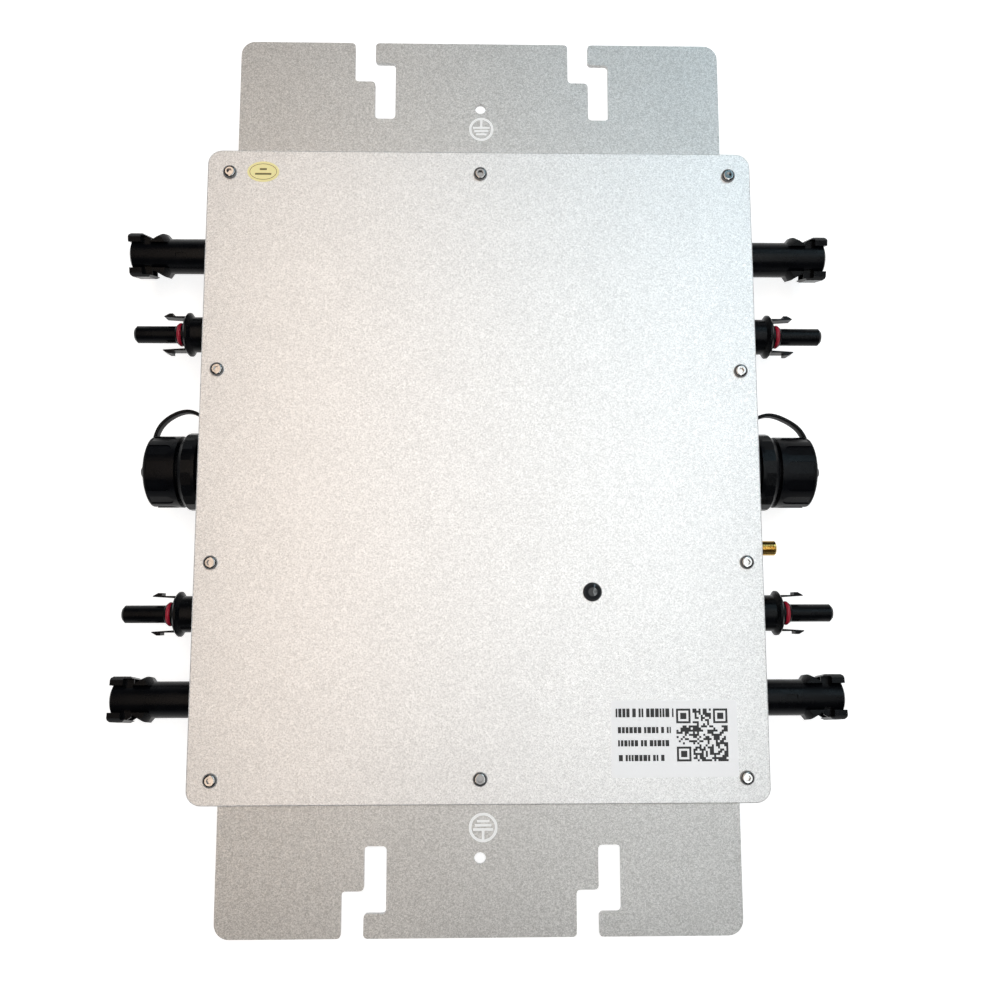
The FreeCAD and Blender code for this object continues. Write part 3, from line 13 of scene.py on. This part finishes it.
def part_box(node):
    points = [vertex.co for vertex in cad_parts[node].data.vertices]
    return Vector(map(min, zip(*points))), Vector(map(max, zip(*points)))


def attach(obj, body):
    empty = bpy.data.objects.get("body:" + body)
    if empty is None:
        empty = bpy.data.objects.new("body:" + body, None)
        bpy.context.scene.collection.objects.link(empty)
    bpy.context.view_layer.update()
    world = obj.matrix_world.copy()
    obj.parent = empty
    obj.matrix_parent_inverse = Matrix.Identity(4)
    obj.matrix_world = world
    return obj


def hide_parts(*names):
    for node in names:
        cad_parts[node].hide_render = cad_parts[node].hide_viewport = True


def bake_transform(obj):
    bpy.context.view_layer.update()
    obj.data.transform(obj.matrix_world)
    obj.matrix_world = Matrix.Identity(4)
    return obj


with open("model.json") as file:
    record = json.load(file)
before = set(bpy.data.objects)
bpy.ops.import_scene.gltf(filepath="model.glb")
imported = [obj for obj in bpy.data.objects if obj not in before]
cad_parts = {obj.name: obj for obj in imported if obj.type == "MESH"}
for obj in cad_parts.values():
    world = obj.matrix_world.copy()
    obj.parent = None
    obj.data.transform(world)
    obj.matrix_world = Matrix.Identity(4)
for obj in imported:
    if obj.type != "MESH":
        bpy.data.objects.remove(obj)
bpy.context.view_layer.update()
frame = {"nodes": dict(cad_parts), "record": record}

MM = 0.001
INVERTER = "inverter"
SIDES = {"left": -1, "right": 1}

WALL_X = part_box("base_housing")[1].x
PLATE_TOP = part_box("upper_mounting_plate")[1].z


def middle_of(node):
    low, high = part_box(node)
    return (low + high) / 2


AXIS_HEIGHT = middle_of("left_ac_cap").z


# ---------------------------------------------------------------- camera, floor and light

CAMERA_PLACE = Vector((-0.15, -60.07, 423.8)) * MM
CAMERA_TURNS = {"X": 6.80, "Y": -1.215, "Z": 0.03}
SENSOR_WIDTH = 36.0
LENS = 34.2

FLOOR_SIZE = 40.0
FLOOR_GAP = 0.1 * MM


def add_camera():
    camera = bpy.data.cameras.new("camera")
    camera.lens = LENS
    camera.sensor_width = SENSOR_WIDTH
    camera.clip_start = 10 * MM
    holder = bpy.data.objects.new("camera", camera)
    turn = Matrix.Identity(3)
    for axis, degrees in CAMERA_TURNS.items():
        turn = turn @ Matrix.Rotation(math.radians(degrees), 3, axis)
    holder.matrix_world = Matrix.Translation(CAMERA_PLACE) @ turn.to_4x4()
    bpy.context.scene.collection.objects.link(holder)
    bpy.context.scene.camera = holder


CEILING = 1.25
WALL_GLOW = 0.75
CEILING_GLOW = 0.05
WALL_COLOR = (0.92, 0.96, 1.0, 1.0)
# the heights, as the Z of a unit direction, between which the walls fade into the ceiling
FADE_START = 0.10
FADE_END = 0.42

# each panel's middle and size across the ceiling, its power for each square metre, and its colour
PANELS = {
    "middle_panel": ((-0.02, 0.28), (0.42, 1.45), 4.5, (1.0, 1.0, 1.0)),
    "warm_panel": ((-0.36, 0.15), (0.22, 1.5), 12.0, (1.0, 0.80, 0.64)),
    "bright_panel": ((0.37, 0.0), (0.20, 1.2), 16.5, (0.95, 0.99, 1.0)),
    "blue_panel": ((0.34, 0.95), (0.26, 0.5), 5.0, (0.42, 0.80, 1.0)),
    "cool_panel": ((0.72, 1.0), (0.22, 1.5), 14.0, (0.62, 0.86, 1.0)),
}


def add_panel(name, place, size, glow, color):
    """A soft light panel in the ceiling that faces straight down."""
    light = bpy.data.lights.new(name, "AREA")
    light.shape = "RECTANGLE"
    light.size, light.size_y = size
    light.energy = glow * size[0] * size[1]
    light.color = color
    holder = bpy.data.objects.new(name, light)
    holder.location = (*place, CEILING)
    bpy.context.scene.collection.objects.link(holder)


def add_room():
    """Pale walls round the table, which fade into a dim ceiling between the light panels."""
    world = bpy.data.worlds.new("studio")
    world.use_nodes = True
    nodes = world.node_tree.nodes
    links = world.node_tree.links
    split = nodes.new("ShaderNodeSeparateXYZ")
    links.new(nodes.new("ShaderNodeTexCoord").outputs["Generated"], split.inputs[0])
    fade = nodes.new("ShaderNodeMapRange")
    fade.interpolation_type = "SMOOTHSTEP"
    fade.inputs["From Min"].default_value = FADE_START
    fade.inputs["From Max"].default_value = FADE_END
    fade.inputs["To Min"].default_value = WALL_GLOW
    fade.inputs["To Max"].default_value = CEILING_GLOW
    links.new(split.outputs["Z"], fade.inputs["Value"])
    background = nodes["Background"]
    background.inputs["Color"].default_value = WALL_COLOR
    links.new(fade.outputs["Result"], background.inputs["Strength"])
    bpy.context.scene.world = world


def add_studio():
    """The room, its light panels, and a plain view transform."""
    add_room()
    bpy.context.scene.view_settings.view_transform = "Standard"
    for name, settings in PANELS.items():
        add_panel(name, *settings)


# ---------------------------------------------------------------- materials


class Surface:
    """A Principled material whose patterns are laid out in the object's own space, in metres."""

    def __init__(self, name, color, roughness, metallic=0.0):
        self.material = bpy.data.materials.new(name)
        self.material.use_nodes = True
        self.nodes = self.material.node_tree.nodes
        self.links = self.material.node_tree.links
        self.shader = self.nodes["Principled BSDF"]
        self.position = self.nodes.new("ShaderNodeTexCoord").outputs["Object"]
        self.color = None
        self.normal = None
        self.shader.inputs["Base Color"].default_value = (*color, 1.0)
        self.base = (*color, 1.0)
        self.shader.inputs["Roughness"].default_value = roughness
        self.shader.inputs["Metallic"].default_value = metallic

    def set(self, **values):
        """Sets constants on the shader's own sockets, such as Coat_Weight=0.3."""
        for name, value in values.items():
            self.shader.inputs[name.replace("_", " ")].default_value = value
        return self

    def noise(self, size, detail=2.0, stretch=(1.0, 1.0, 1.0)):
        """Cloudy values from 0 to 1, whose patches are about this size."""
        scaled = self.nodes.new("ShaderNodeVectorMath")
        scaled.operation = "MULTIPLY"
        scaled.inputs[1].default_value = stretch
        self.links.new(self.position, scaled.inputs[0])
        texture = self.nodes.new("ShaderNodeTexNoise")
        texture.inputs["Scale"].default_value = 1.0 / size
        texture.inputs["Detail"].default_value = detail
        self.links.new(scaled.outputs[0], texture.inputs["Vector"])
        return texture.outputs["Fac"]

    def flakes(self, size):
        """A random value from 0 to 1 for each small cell."""
        texture = self.nodes.new("ShaderNodeTexVoronoi")
        texture.inputs["Scale"].default_value = 1.0 / size
        self.links.new(self.position, texture.inputs["Vector"])
        split = self.nodes.new("ShaderNodeSeparateColor")
        self.links.new(texture.outputs["Color"], split.inputs["Color"])
        return split.outputs["Red"]

    def mapped(self, pattern, low, high, start=0.0, end=1.0):
        """The pattern's range start..end, stretched to low..high."""
        node = self.nodes.new("ShaderNodeMapRange")
        for name, value in (("From Min", start), ("From Max", end), ("To Min", low), ("To Max", high)):
            node.inputs[name].default_value = value
        self.links.new(pattern, node.inputs["Value"])
        return node.outputs["Result"]

    def shade(self, pattern, low, high, start=0.3, end=0.7):
        """Multiplies the base colour by a factor that follows the pattern."""
        node = self.nodes.new("ShaderNodeMix")
        node.data_type = "RGBA"
        node.blend_type = "MULTIPLY"
        node.inputs["Factor"].default_value = 1.0
        if self.color is None:
            node.inputs["A"].default_value = self.base
        else:
            self.links.new(self.color, node.inputs["A"])
        self.links.new(self.mapped(pattern, low, high, start, end), node.inputs["B"])
        self.color = node.outputs["Result"]
        self.links.new(self.color, self.shader.inputs["Base Color"])
        return self

    def blend(self, pattern, color, start=0.45, end=0.6):
        """Blends towards another colour where the pattern is high."""
        node = self.nodes.new("ShaderNodeMix")
        node.data_type = "RGBA"
        if self.color is None:
            node.inputs["A"].default_value = self.base
        else:
            self.links.new(self.color, node.inputs["A"])
        node.inputs["B"].default_value = (*color, 1.0)
        self.links.new(self.mapped(pattern, 0.0, 1.0, start, end), node.inputs["Factor"])
        self.color = node.outputs["Result"]
        self.links.new(self.color, self.shader.inputs["Base Color"])
        return self

    def rough(self, pattern, low, high, start=0.3, end=0.7):
        self.links.new(self.mapped(pattern, low, high, start, end), self.shader.inputs["Roughness"])
        return self

    def bump(self, pattern, depth, strength=1.0):
        """Raises the surface by the pattern, this many metres from its lowest to its highest."""
        node = self.nodes.new("ShaderNodeBump")
        node.inputs["Distance"].default_value = depth
        node.inputs["Strength"].default_value = strength
        self.links.new(pattern, node.inputs["Height"])
        if self.normal is not None:
            self.links.new(self.normal, node.inputs["Normal"])
        self.normal = node.outputs["Normal"]
        self.links.new(self.normal, self.shader.inputs["Normal"])
        return self


FLAKE = 0.34 * MM
LARGE_FLAKE = FLAKE * 1.8


def sparkle_coat(name, color, grain):
    """Silver powder coat: flakes of uneven brightness in a slightly rough, half metallic film."""
    coat = Surface(name, color, 0.42, metallic=0.6)
    coat.shade(coat.flakes(FLAKE), 1.0 - grain, 1.0 + grain, 0.0, 1.0)
    coat.shade(coat.flakes(LARGE_FLAKE), 1.0 - grain / 4, 1.0 + grain / 4, 0.0, 1.0)
    coat.shade(coat.noise(22 * MM), 0.985, 1.015)
    coat.rough(coat.noise(0.8 * MM), 0.38, 0.50)
    coat.bump(coat.noise(0.5 * MM, 2.0), 0.014 * MM)
    return coat.material


def cast_coat():
    """The housing: the same silver, a little duller, over cast metal with a fine orange peel."""
    coat = Surface("housing_aluminium", (0.60, 0.60, 0.595), 0.45, metallic=0.6)
    coat.shade(coat.flakes(0.8 * MM), 0.88, 1.12, 0.0, 1.0)
    coat.shade(coat.noise(25 * MM), 0.95, 1.04)
    coat.rough(coat.noise(3 * MM), 0.38, 0.55)
    coat.bump(coat.noise(1.8 * MM, 3.0), 0.05 * MM)
    return coat.material


def moulded(name, color, low_rough, high_rough, gloss=0.5, grain=0.5 * MM, depth=0.008 * MM):
    """Moulded plastic or rubber: fine spark-eroded grain, with handled patches that shine more."""
    surface = Surface(name, color, low_rough)
    surface.shade(surface.noise(9 * MM), 0.8, 1.25)
    surface.rough(surface.noise(5 * MM, 3.0), low_rough, high_rough)
    surface.bump(surface.noise(grain, 2.0), depth)
    return surface.set(Specular_IOR_Level=gloss)


def bare_metal(name, color, low_rough, high_rough, streak=(1.0, 1.0, 1.0)):
    """Turned, plated or polished metal with faint marks along one direction."""
    metal = Surface(name, color, low_rough, metallic=1.0)
    metal.shade(metal.noise(2.5 * MM, 3.0), 0.9, 1.08)
    metal.rough(metal.noise(0.6 * MM, 3.0, streak), low_rough, high_rough)
    metal.bump(metal.noise(0.3 * MM, 2.0, streak), 0.002 * MM)
    return metal.material


def film(name, color, glow):
    """A printed film label: satin, very slightly rippled; the glow is painted light, an emission that makes
    the film brighter than the lamps alone would.
    """
    paper = Surface(name, color, 0.35)
    paper.set(Emission_Color=(*color, 1.0), Emission_Strength=glow)
    paper.shade(paper.noise(6 * MM), 0.985, 1.01)
    paper.rough(paper.noise(2 * MM), 0.3, 0.45)
    paper.bump(paper.noise(4 * MM), 0.02 * MM)
    return paper.material


def circuit_laminate():
    """Green solder mask with paler lines where copper runs beneath it."""
    board = Surface("board_laminate", (0.012, 0.13, 0.05), 0.3)
    board.blend(board.noise(4 * MM, 0.0, (1.0, 0.15, 1.0)), (0.03, 0.22, 0.09), 0.50, 0.53)
    board.rough(board.noise(2 * MM), 0.22, 0.4)
    return board.material


def wound_ferrite():
    """Dark sintered ferrite with a dull speckle."""
    core = Surface("transformer_ferrite", (0.045, 0.045, 0.048), 0.6)
    core.shade(core.flakes(0.6 * MM), 0.75, 1.3, 0.0, 1.0)
    core.rough(core.noise(2 * MM), 0.5, 0.75)
    core.bump(core.noise(0.6 * MM), 0.02 * MM)
    return core.material


def make_materials():
    """One material for each slot of the record, by the slot's name."""
    plastics = {
        "black_plastic": moulded("black_plastic", (0.0020, 0.0023, 0.0032), 0.22, 0.34, 0.10),
        "cap_plastic": moulded("cap_plastic", (0.0020, 0.0023, 0.0034), 0.24, 0.36, 0.10),
        "seal_rubber": moulded("seal_rubber", (0.007, 0.007, 0.007), 0.55, 0.75, 0.3),
        "red_rubber": moulded("red_rubber", (0.42, 0.006, 0.03), 0.35, 0.5),
        "tether_rubber": moulded("tether_rubber", (0.003, 0.003, 0.004), 0.40, 0.55, 0.15),
        "white_insulator": moulded("white_insulator", (0.80, 0.79, 0.75), 0.3, 0.45),
        "light_cover_plastic": moulded("light_cover_plastic", (0.020, 0.021, 0.024), 0.08, 0.16),
        "diode_plastic": moulded("diode_plastic", (0.65, 0.72, 0.62), 0.12, 0.25),
        "capacitor_sleeve": moulded("capacitor_sleeve", (0.02, 0.02, 0.035), 0.2, 0.35),
        "film_capacitor_case": moulded("film_capacitor_case", (0.50, 0.30, 0.03), 0.25, 0.4),
        "package_epoxy": moulded("package_epoxy", (0.02, 0.02, 0.02), 0.5, 0.7),
        "silicone_pad": moulded("silicone_pad", (0.42, 0.45, 0.50), 0.6, 0.8),
        "relay_case": moulded("relay_case", (0.02, 0.035, 0.12), 0.25, 0.4),
        "wire_insulation": moulded("wire_insulation", (0.35, 0.02, 0.015), 0.35, 0.5),
    }
    made = {slot: surface.material for slot, surface in plastics.items()}
    made["housing_aluminium"] = cast_coat()
    made["lid_coat"] = sparkle_coat("lid_coat", (0.80, 0.795, 0.79), 0.20)
    made["plate_coat"] = sparkle_coat("plate_coat", (0.58, 0.575, 0.565), 0.26)
    made["screw_steel"] = bare_metal("screw_steel", (0.27, 0.265, 0.26), 0.08, 0.16)
    made["contact_metal"] = bare_metal("contact_metal", (0.72, 0.68, 0.58), 0.2, 0.35)
    made["brass"] = bare_metal("brass", (0.56, 0.39, 0.13), 0.10, 0.18, (0.2, 1.0, 1.0))
    made["shield_steel"] = bare_metal("shield_steel", (0.60, 0.60, 0.60), 0.25, 0.4)
    # the label's and the sticker's glow is painted light, an emission that makes them brighter than the
    # lamps alone would
    made["label_film"] = film("label_film", (0.90, 0.905, 0.92), 0.22)
    made["sticker_film"] = film("sticker_film", (0.95, 0.84, 0.40), 0.16)
    made["board_laminate"] = circuit_laminate()
    made["transformer_ferrite"] = wound_ferrite()
    return made


def print_ink(name, color, glow=0.0):
    """Screen-printed ink, a little uneven in strength; a glow above zero is painted light, an emission that
    makes the ink brighter than the lamps alone would.
    """
    ink = Surface(name, color, 0.5)
    ink.set(Emission_Color=(1.0, 1.0, 1.0, 1.0), Emission_Strength=glow)
    ink.shade(ink.noise(0.8 * MM, 2.0), 0.88, 1.08)
    ink.rough(ink.noise(1.0 * MM), 0.42, 0.6)
    return ink.material


# ---------------------------------------------------------------- finishing the CAD nodes


def finish_nodes(materials):
    """Gives every CAD node the material of its slot."""
    slots = {part["node"]: part["material_slot"] for part in frame["record"]["subparts"]}
    for name, node in frame["nodes"].items():
        for index in range(len(node.data.materials)):
            node.data.materials[index] = materials[slots[name]]


# ---------------------------------------------------------------- new pieces


def new_piece(name, mesh_maker, material, body=INVERTER, smooth=True):
    """Makes a mesh object from a bmesh function and lets it ride on a body."""
    mesh = bpy.data.meshes.new(name)
    build = bmesh.new()
    mesh_maker(build)
    bmesh.ops.recalc_face_normals(build, faces=build.faces)
    build.to_mesh(mesh)
    build.free()
    mesh.materials.append(material)
    piece = bpy.data.objects.new(name, mesh)
    bpy.context.scene.collection.objects.link(piece)
    if smooth:
        mesh.shade_smooth()
    if body:
        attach(piece, body)
    return piece


def bridge(build, loops, closed):
    """Joins rings of vertices into a skin, and closes its ends if it isn't a torus."""
    pairs = list(zip(loops, loops[1:]))
    if closed:
        pairs.append((loops[-1], loops[0]))
    for first, second in pairs:
        count = len(first)
        for index in range(count):
            after = (index + 1) % count
            build.faces.new((first[index], first[after], second[after], second[index]))
    if not closed:
        build.faces.new(loops[0])
        build.faces.new(reversed(loops[-1]))


def slab(build, outline, bottom, top):
    """A flat closed solid over an outline of (x, y) points."""
    low = [build.verts.new((x, y, bottom)) for x, y in outline]
    high = [build.verts.new((x, y, top)) for x, y in outline]
    bridge(build, [low, high], closed=False)


def oval_ring(build, centre, outer, inner, bottom, top, steps=72):
    """A flat ring: outer and inner are (half width, half height)."""
    loops = []
    for half, height in ((outer, bottom), (outer, top), (inner, top), (inner, bottom)):
        turns = [math.tau * step / steps for step in range(steps)]
        loops.append(
            [
                build.verts.new(
                    (centre[0] + half[0] * math.cos(a), centre[1] + half[1] * math.sin(a), height)
                )
                for a in turns
            ]
        )
    bridge(build, loops, closed=True)


def box_outline(left, bottom, right, top):
    return [(left, bottom), (right, bottom), (right, top), (left, top)]


INK = 0.03 * MM
EARTH_OUTER = 5.2 * MM
EARTH_INNER = 4.25 * MM
EARTH_HALF_BAR = 0.43 * MM
# each bar's height above the ring's middle, and half its length
EARTH_BARS = ((0.70 * MM, 3.6 * MM), (-0.80 * MM, 3.0 * MM), (-2.25 * MM, 2.25 * MM))


def earth_symbol(name, centre, upwards, scale, ink):
    """The standard protective-earth sign: a ring, three bars and a stem."""

    def draw(build):
        bottom, top = PLATE_TOP, PLATE_TOP + INK
        outer, inner = EARTH_OUTER * scale, EARTH_INNER * scale
        half_bar = EARTH_HALF_BAR * scale
        oval_ring(build, centre, (outer, outer), (inner, inner), bottom, top)
        for level, half_length in EARTH_BARS:
            y = centre[1] + upwards * level * scale
            half = half_length * scale
            bar = box_outline(centre[0] - half, y - half_bar, centre[0] + half, y + half_bar)
            slab(build, bar, bottom, top)
        longest_bar = EARTH_BARS[0][0] * scale
        ends = (
            centre[1] + upwards * (longest_bar + half_bar),
            centre[1] + upwards * inner,
        )
        stem = box_outline(centre[0] - half_bar, min(ends), centre[0] + half_bar, max(ends))
        slab(build, stem, bottom, top)

    return new_piece(name, draw, ink, smooth=False)


CELL = 0.82 * MM
CELLS = 25
CORNER_CELLS = 8
SQUARE_HALF_CELLS = 3.5
DOT_HALF_CELLS = 1.5


def corner_square(build, left, up, bottom, top):
    """A square ring, seven cells wide and one thick, with a square dot inside."""
    reach = SQUARE_HALF_CELLS * CELL
    middle = (left + reach, up - reach)
    bar = box_outline(-reach, reach - CELL, reach - CELL, reach)
    for turn in range(4):
        spin = Matrix.Rotation(math.pi / 2 * turn, 2)
        outline = [spin @ Vector(point) for point in bar]
        slab(build, [(middle[0] + x, middle[1] + y) for x, y in outline], bottom, top)
    dot = DOT_HALF_CELLS * CELL
    square = box_outline(middle[0] - dot, middle[1] - dot, middle[0] + dot, middle[1] + dot)
    slab(build, square, bottom, top)


BLOCK_LEFT = 26.0 * MM
BLOCK_DOWN = 3.2 * MM
# each row's distance from the label's top, its height, and its start and end from the left, in millimetres
DASH_ROWS = ((3.1, 3.4, 1.9, 25.0), (10.3, 2.4, 2.7, 23.8), (15.4, 2.4, 2.7, 23.9), (21.1, 2.4, 2.9, 21.6))
DASH_LENGTHS = (0.7, 1.6)
DASH_GAPS = (0.35, 0.35, 0.35, 1.1)
SEED = 7


def in_corner_square(row, column):
    """Whether a cell belongs to one of the three corners that hold a square."""
    far = CELLS - CORNER_CELLS
    at_left = column < CORNER_CELLS and (row < CORNER_CELLS or row >= far)
    at_top_right = column >= far and row < CORNER_CELLS
    return at_left or at_top_right


def label_print(ink):
    """Rows of plain dashes and a block of random squares: a label's look without any writing."""
    low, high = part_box("rating_label")
    chance = random.Random(SEED)
    block_left = low.x + BLOCK_LEFT
    block_top = high.y - BLOCK_DOWN
    far_square = CELLS - CORNER_CELLS + 1

    def draw(build):
        bottom, top = high.z, high.z + INK
        for row in range(CELLS):
            for column in range(CELLS):
                if not in_corner_square(row, column) and chance.random() < 0.5:
                    left = block_left + column * CELL
                    up = block_top - row * CELL
                    slab(build, box_outline(left, up - CELL, left + CELL, up), bottom, top)
        for column, row in ((0, 0), (far_square, 0), (0, far_square)):
            corner_square(build, block_left + column * CELL, block_top - row * CELL, bottom, top)
        for down, tall, start, end in DASH_ROWS:
            at = start
            while at < end:
                dash = chance.uniform(*DASH_LENGTHS)
                left = low.x + at * MM
                right = low.x + min(at + dash, end) * MM
                up = high.y - down * MM
                slab(build, box_outline(left, up - tall * MM, right, up), bottom, top)
                at += dash + chance.choice(DASH_GAPS)

    return new_piece("label_print", draw, ink, smooth=False)


STICKER_LINE = 0.22 * MM
STICKER_INSET = 0.95 * MM
STICKER_HALF_BAR = 0.4 * MM
# each bar's height above the sticker's middle, and half its length
STICKER_BARS = ((1.1 * MM, 1.5 * MM), (-1.0 * MM, 3.4 * MM))


def sticker_print(ink):
    """A thin oval border line and two plain bars."""
    low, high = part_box("inspection_sticker")
    centre = (low + high) / 2
    outer = ((high.x - low.x) / 2 - STICKER_INSET, (high.y - low.y) / 2 - STICKER_INSET)
    inner = (outer[0] - STICKER_LINE, outer[1] - STICKER_LINE)

    def draw(build):
        bottom, top = high.z, high.z + INK
        oval_ring(build, centre, outer, inner, bottom, top)
        for level, half in STICKER_BARS:
            y = centre.y + level
            left, right = centre.x - half, centre.x + half
            bar = box_outline(left, y - STICKER_HALF_BAR, right, y + STICKER_HALF_BAR)
            slab(build, bar, bottom, top)

    return new_piece("sticker_print", draw, ink, smooth=False)


def turned(side, outline, steps=96):
    """A bmesh function that turns (distance from the wall, radius) points about the AC connector's axis."""

    def draw(build):
        loops = []
        for step in range(steps):
            angle = math.tau * step / steps
            loops.append(
                [
                    build.verts.new(
                        (
                            SIDES[side] * (WALL_X + x),
                            radius * math.cos(angle),
                            AXIS_HEIGHT + radius * math.sin(angle),
                        )
                    )
                    for x, radius in outline
                ]
            )
        bridge(build, loops, closed=True)

    return draw


def arc_points(start, end, bulge, count):
    """Points from start to end along a circular arc that stands out by bulge in the middle."""
    start, end = Vector(start), Vector(end)
    chord = end - start
    across = Vector((-chord.y, chord.x)).normalized()
    half = chord.length / 2
    radius = (half**2 + bulge**2) / (2 * bulge)
    centre = (start + end) / 2 + across * (bulge - radius)
    reach = math.asin(min(1.0, half / radius))
    first = math.atan2(*reversed(start - centre))
    turns = [first - reach * 2 * step / count for step in range(count + 1)]
    return [centre + radius * Vector((math.cos(turn), math.sin(turn))) for turn in turns]


# the strap's route, as distances from the wall and from the axis, in millimetres
TETHER_ROUTES = {
    "left": [(3.8, 14.6), (4.4, 20.8), (8.1, 25.3), (14.1, 26.6), (21.1, 23.4), (25.6, 18.2), (26.3, 14.0)],
    "right": [(3.8, 14.6), (4.1, 20.5), (7.5, 24.2), (14.0, 25.6), (22.3, 21.9), (27.1, 17.6), (28.3, 14.0)],
}
STRAP_THICK = 1.4 * MM
STRAP_WIDE = 4.6 * MM
CORNER_STEPS = 4

# the neck ring's ends and radii, measured from the wall and from the axis
RING_START = 2.8 * MM
RING_END = 4.8 * MM
RING_INSIDE = 13.35 * MM
RING_OUTSIDE = 15.4 * MM
RING_SOFT = 0.5 * MM

# the end disc, as distances in from its tip and radii, from the hole outwards along its underside
DISC_HOLE = 1.65 * MM
DISC_RIM = 14.8 * MM
DISC_UNDERSIDE = (
    (1.65 * MM, DISC_HOLE),
    (1.65 * MM, 3.0 * MM),
    (2.75 * MM, 10.0 * MM),
    (4.05 * MM, 13.9 * MM),
    (4.05 * MM, DISC_RIM),
    (3.3 * MM, DISC_RIM),
)
DISC_SHOULDER = (1.6 * MM, 10.3 * MM)
DISC_HUB = 3.2 * MM
CROWN_BULGE = 0.25 * MM
DOME_BULGE = 0.12 * MM
ARC_STEPS = 5
SOFT_EDGE = 0.15 * MM


def smooth_route(side):
    """The strap's middle line: a NURBS curve through its control points."""
    curve = bpy.data.curves.new("route", "CURVE")
    curve.dimensions = "3D"
    curve.resolution_u = 12
    line = curve.splines.new("NURBS")
    points = TETHER_ROUTES[side]
    line.points.add(len(points) - 1)
    for point, (x, y) in zip(line.points, points):
        point.co = (SIDES[side] * (WALL_X + x * MM), y * MM, AXIS_HEIGHT, 1.0)
    line.order_u = 3
    line.use_endpoint_u = True
    holder = bpy.data.objects.new("route", curve)
    mesh = bpy.data.meshes.new_from_object(holder)
    route = [vertex.co.copy() for vertex in mesh.vertices]
    bpy.data.objects.remove(holder)
    bpy.data.meshes.remove(mesh)
    bpy.data.curves.remove(curve)
    return route


def strap_section():
    """A rounded rectangle as (across, along Z) offsets."""
    radius = STRAP_THICK * 0.42
    points = []
    for corner in range(4):
        turn = math.pi / 2 * corner
        sign_x = 1 if corner in (0, 3) else -1
        sign_y = 1 if corner in (0, 1) else -1
        centre = (sign_x * (STRAP_THICK / 2 - radius), sign_y * (STRAP_WIDE / 2 - radius))
        for step in range(CORNER_STEPS + 1):
            angle = turn + math.pi / 2 * step / CORNER_STEPS
            points.append((centre[0] + radius * math.cos(angle), centre[1] + radius * math.sin(angle)))
    return points


def cap_tether(side, rubber):
    """The cap's rubber tether: a ring on the neck, a curved strap, and a domed end disc."""
    hand = SIDES[side]
    node = f"{side}_ac_cap_tether"
    end_body = f"{side}_tether_end"
    tip = abs(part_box(node)[0].x if hand < 0 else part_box(node)[1].x) - WALL_X
    route = smooth_route(side)
    section = strap_section()

    def draw_strap(build):
        loops = []
        for index, point in enumerate(route):
            ahead = route[min(index + 1, len(route) - 1)]
            behind = route[max(index - 1, 0)]
            along = (ahead - behind).normalized()
            across = Vector((-along.y, along.x, 0.0))
            loops.append(
                [build.verts.new(point + across * a + Vector((0.0, 0.0, b))) for a, b in section]
            )
        bridge(build, loops, closed=False)

    strap = new_piece(f"{side}_tether_strap", draw_strap, rubber, body=None)
    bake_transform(strap)
    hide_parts(node)

    ring = [
        (RING_START, RING_INSIDE),
        (RING_START, RING_OUTSIDE - RING_SOFT),
        (RING_START + RING_SOFT, RING_OUTSIDE),
        (RING_END - RING_SOFT, RING_OUTSIDE),
        (RING_END, RING_OUTSIDE - RING_SOFT),
        (RING_END, RING_INSIDE),
    ]
    neck = new_piece(f"{side}_tether_ring", turned(side, ring), rubber)
    add_soft_edges(neck)

    underside = [(tip - inwards, radius) for inwards, radius in DISC_UNDERSIDE]
    shoulder = (tip - DISC_SHOULDER[0], DISC_SHOULDER[1])
    crown = arc_points(underside[-1], shoulder, CROWN_BULGE, ARC_STEPS)
    dome = arc_points(shoulder, (tip, DISC_HUB), DOME_BULGE, ARC_STEPS)
    outside = [(x, radius) for x, radius in crown[1:] + dome[1:]]
    outline = underside + outside + [(tip, DISC_HOLE)]
    disc = new_piece(f"{side}_tether_disc", turned(side, outline), rubber, end_body)
    add_soft_edges(disc)


def add_soft_edges(piece):
    """Rounds a turned piece's sharp edges with a modifier."""
    bevel = piece.modifiers.new("soft_edges", "BEVEL")
    bevel.width = SOFT_EDGE
    bevel.segments = 2
    bevel.limit_method = "ANGLE"
    bevel.angle_limit = math.radians(32)
    bevel.harden_normals = True


def add_floor():
    """A large sheet of pale paper, just below the object."""

    def draw(build):
        half = FLOOR_SIZE / 2
        corners = [(-half, -half), (half, -half), (half, half), (-half, half)]
        build.faces.new([build.verts.new((x, y, -FLOOR_GAP)) for x, y in corners])

    pale = Surface("floor_paper", (0.55, 0.55, 0.55), 0.9)
    pale.shade(pale.noise(0.2), 0.995, 1.005)
    pale.set(Emission_Color=(1.0, 1.0, 1.0, 1.0), Emission_Strength=0.80)
    floor = new_piece("floor", draw, pale.material, body=None, smooth=False)


# ---------------------------------------------------------------- put together

add_camera()
add_studio()
add_floor()
MATERIALS = make_materials()
finish_nodes(MATERIALS)

# the white ink's glow is painted light: it makes the earth symbols brighter than the lamps alone would
WHITE_INK = print_ink("white_ink", (0.90, 0.91, 0.91), glow=0.22)
BLACK_INK = print_ink("black_ink", (0.02, 0.02, 0.022))
OLIVE_INK = print_ink("olive_ink", (0.22, 0.19, 0.07))

UPPER_EARTH = (0.4 * MM, 146.0 * MM)
LOWER_EARTH = (1.2 * MM, -143.6 * MM)
earth_symbol("upper_earth_symbol", UPPER_EARTH, upwards=1, scale=1.0, ink=WHITE_INK)
earth_symbol("lower_earth_symbol", LOWER_EARTH, upwards=-1, scale=1.08, ink=WHITE_INK)
label_print(BLACK_INK)
sticker_print(OLIVE_INK)
for spot_side in SIDES:
    cap_tether(spot_side, MATERIALS["tether_rubber"])
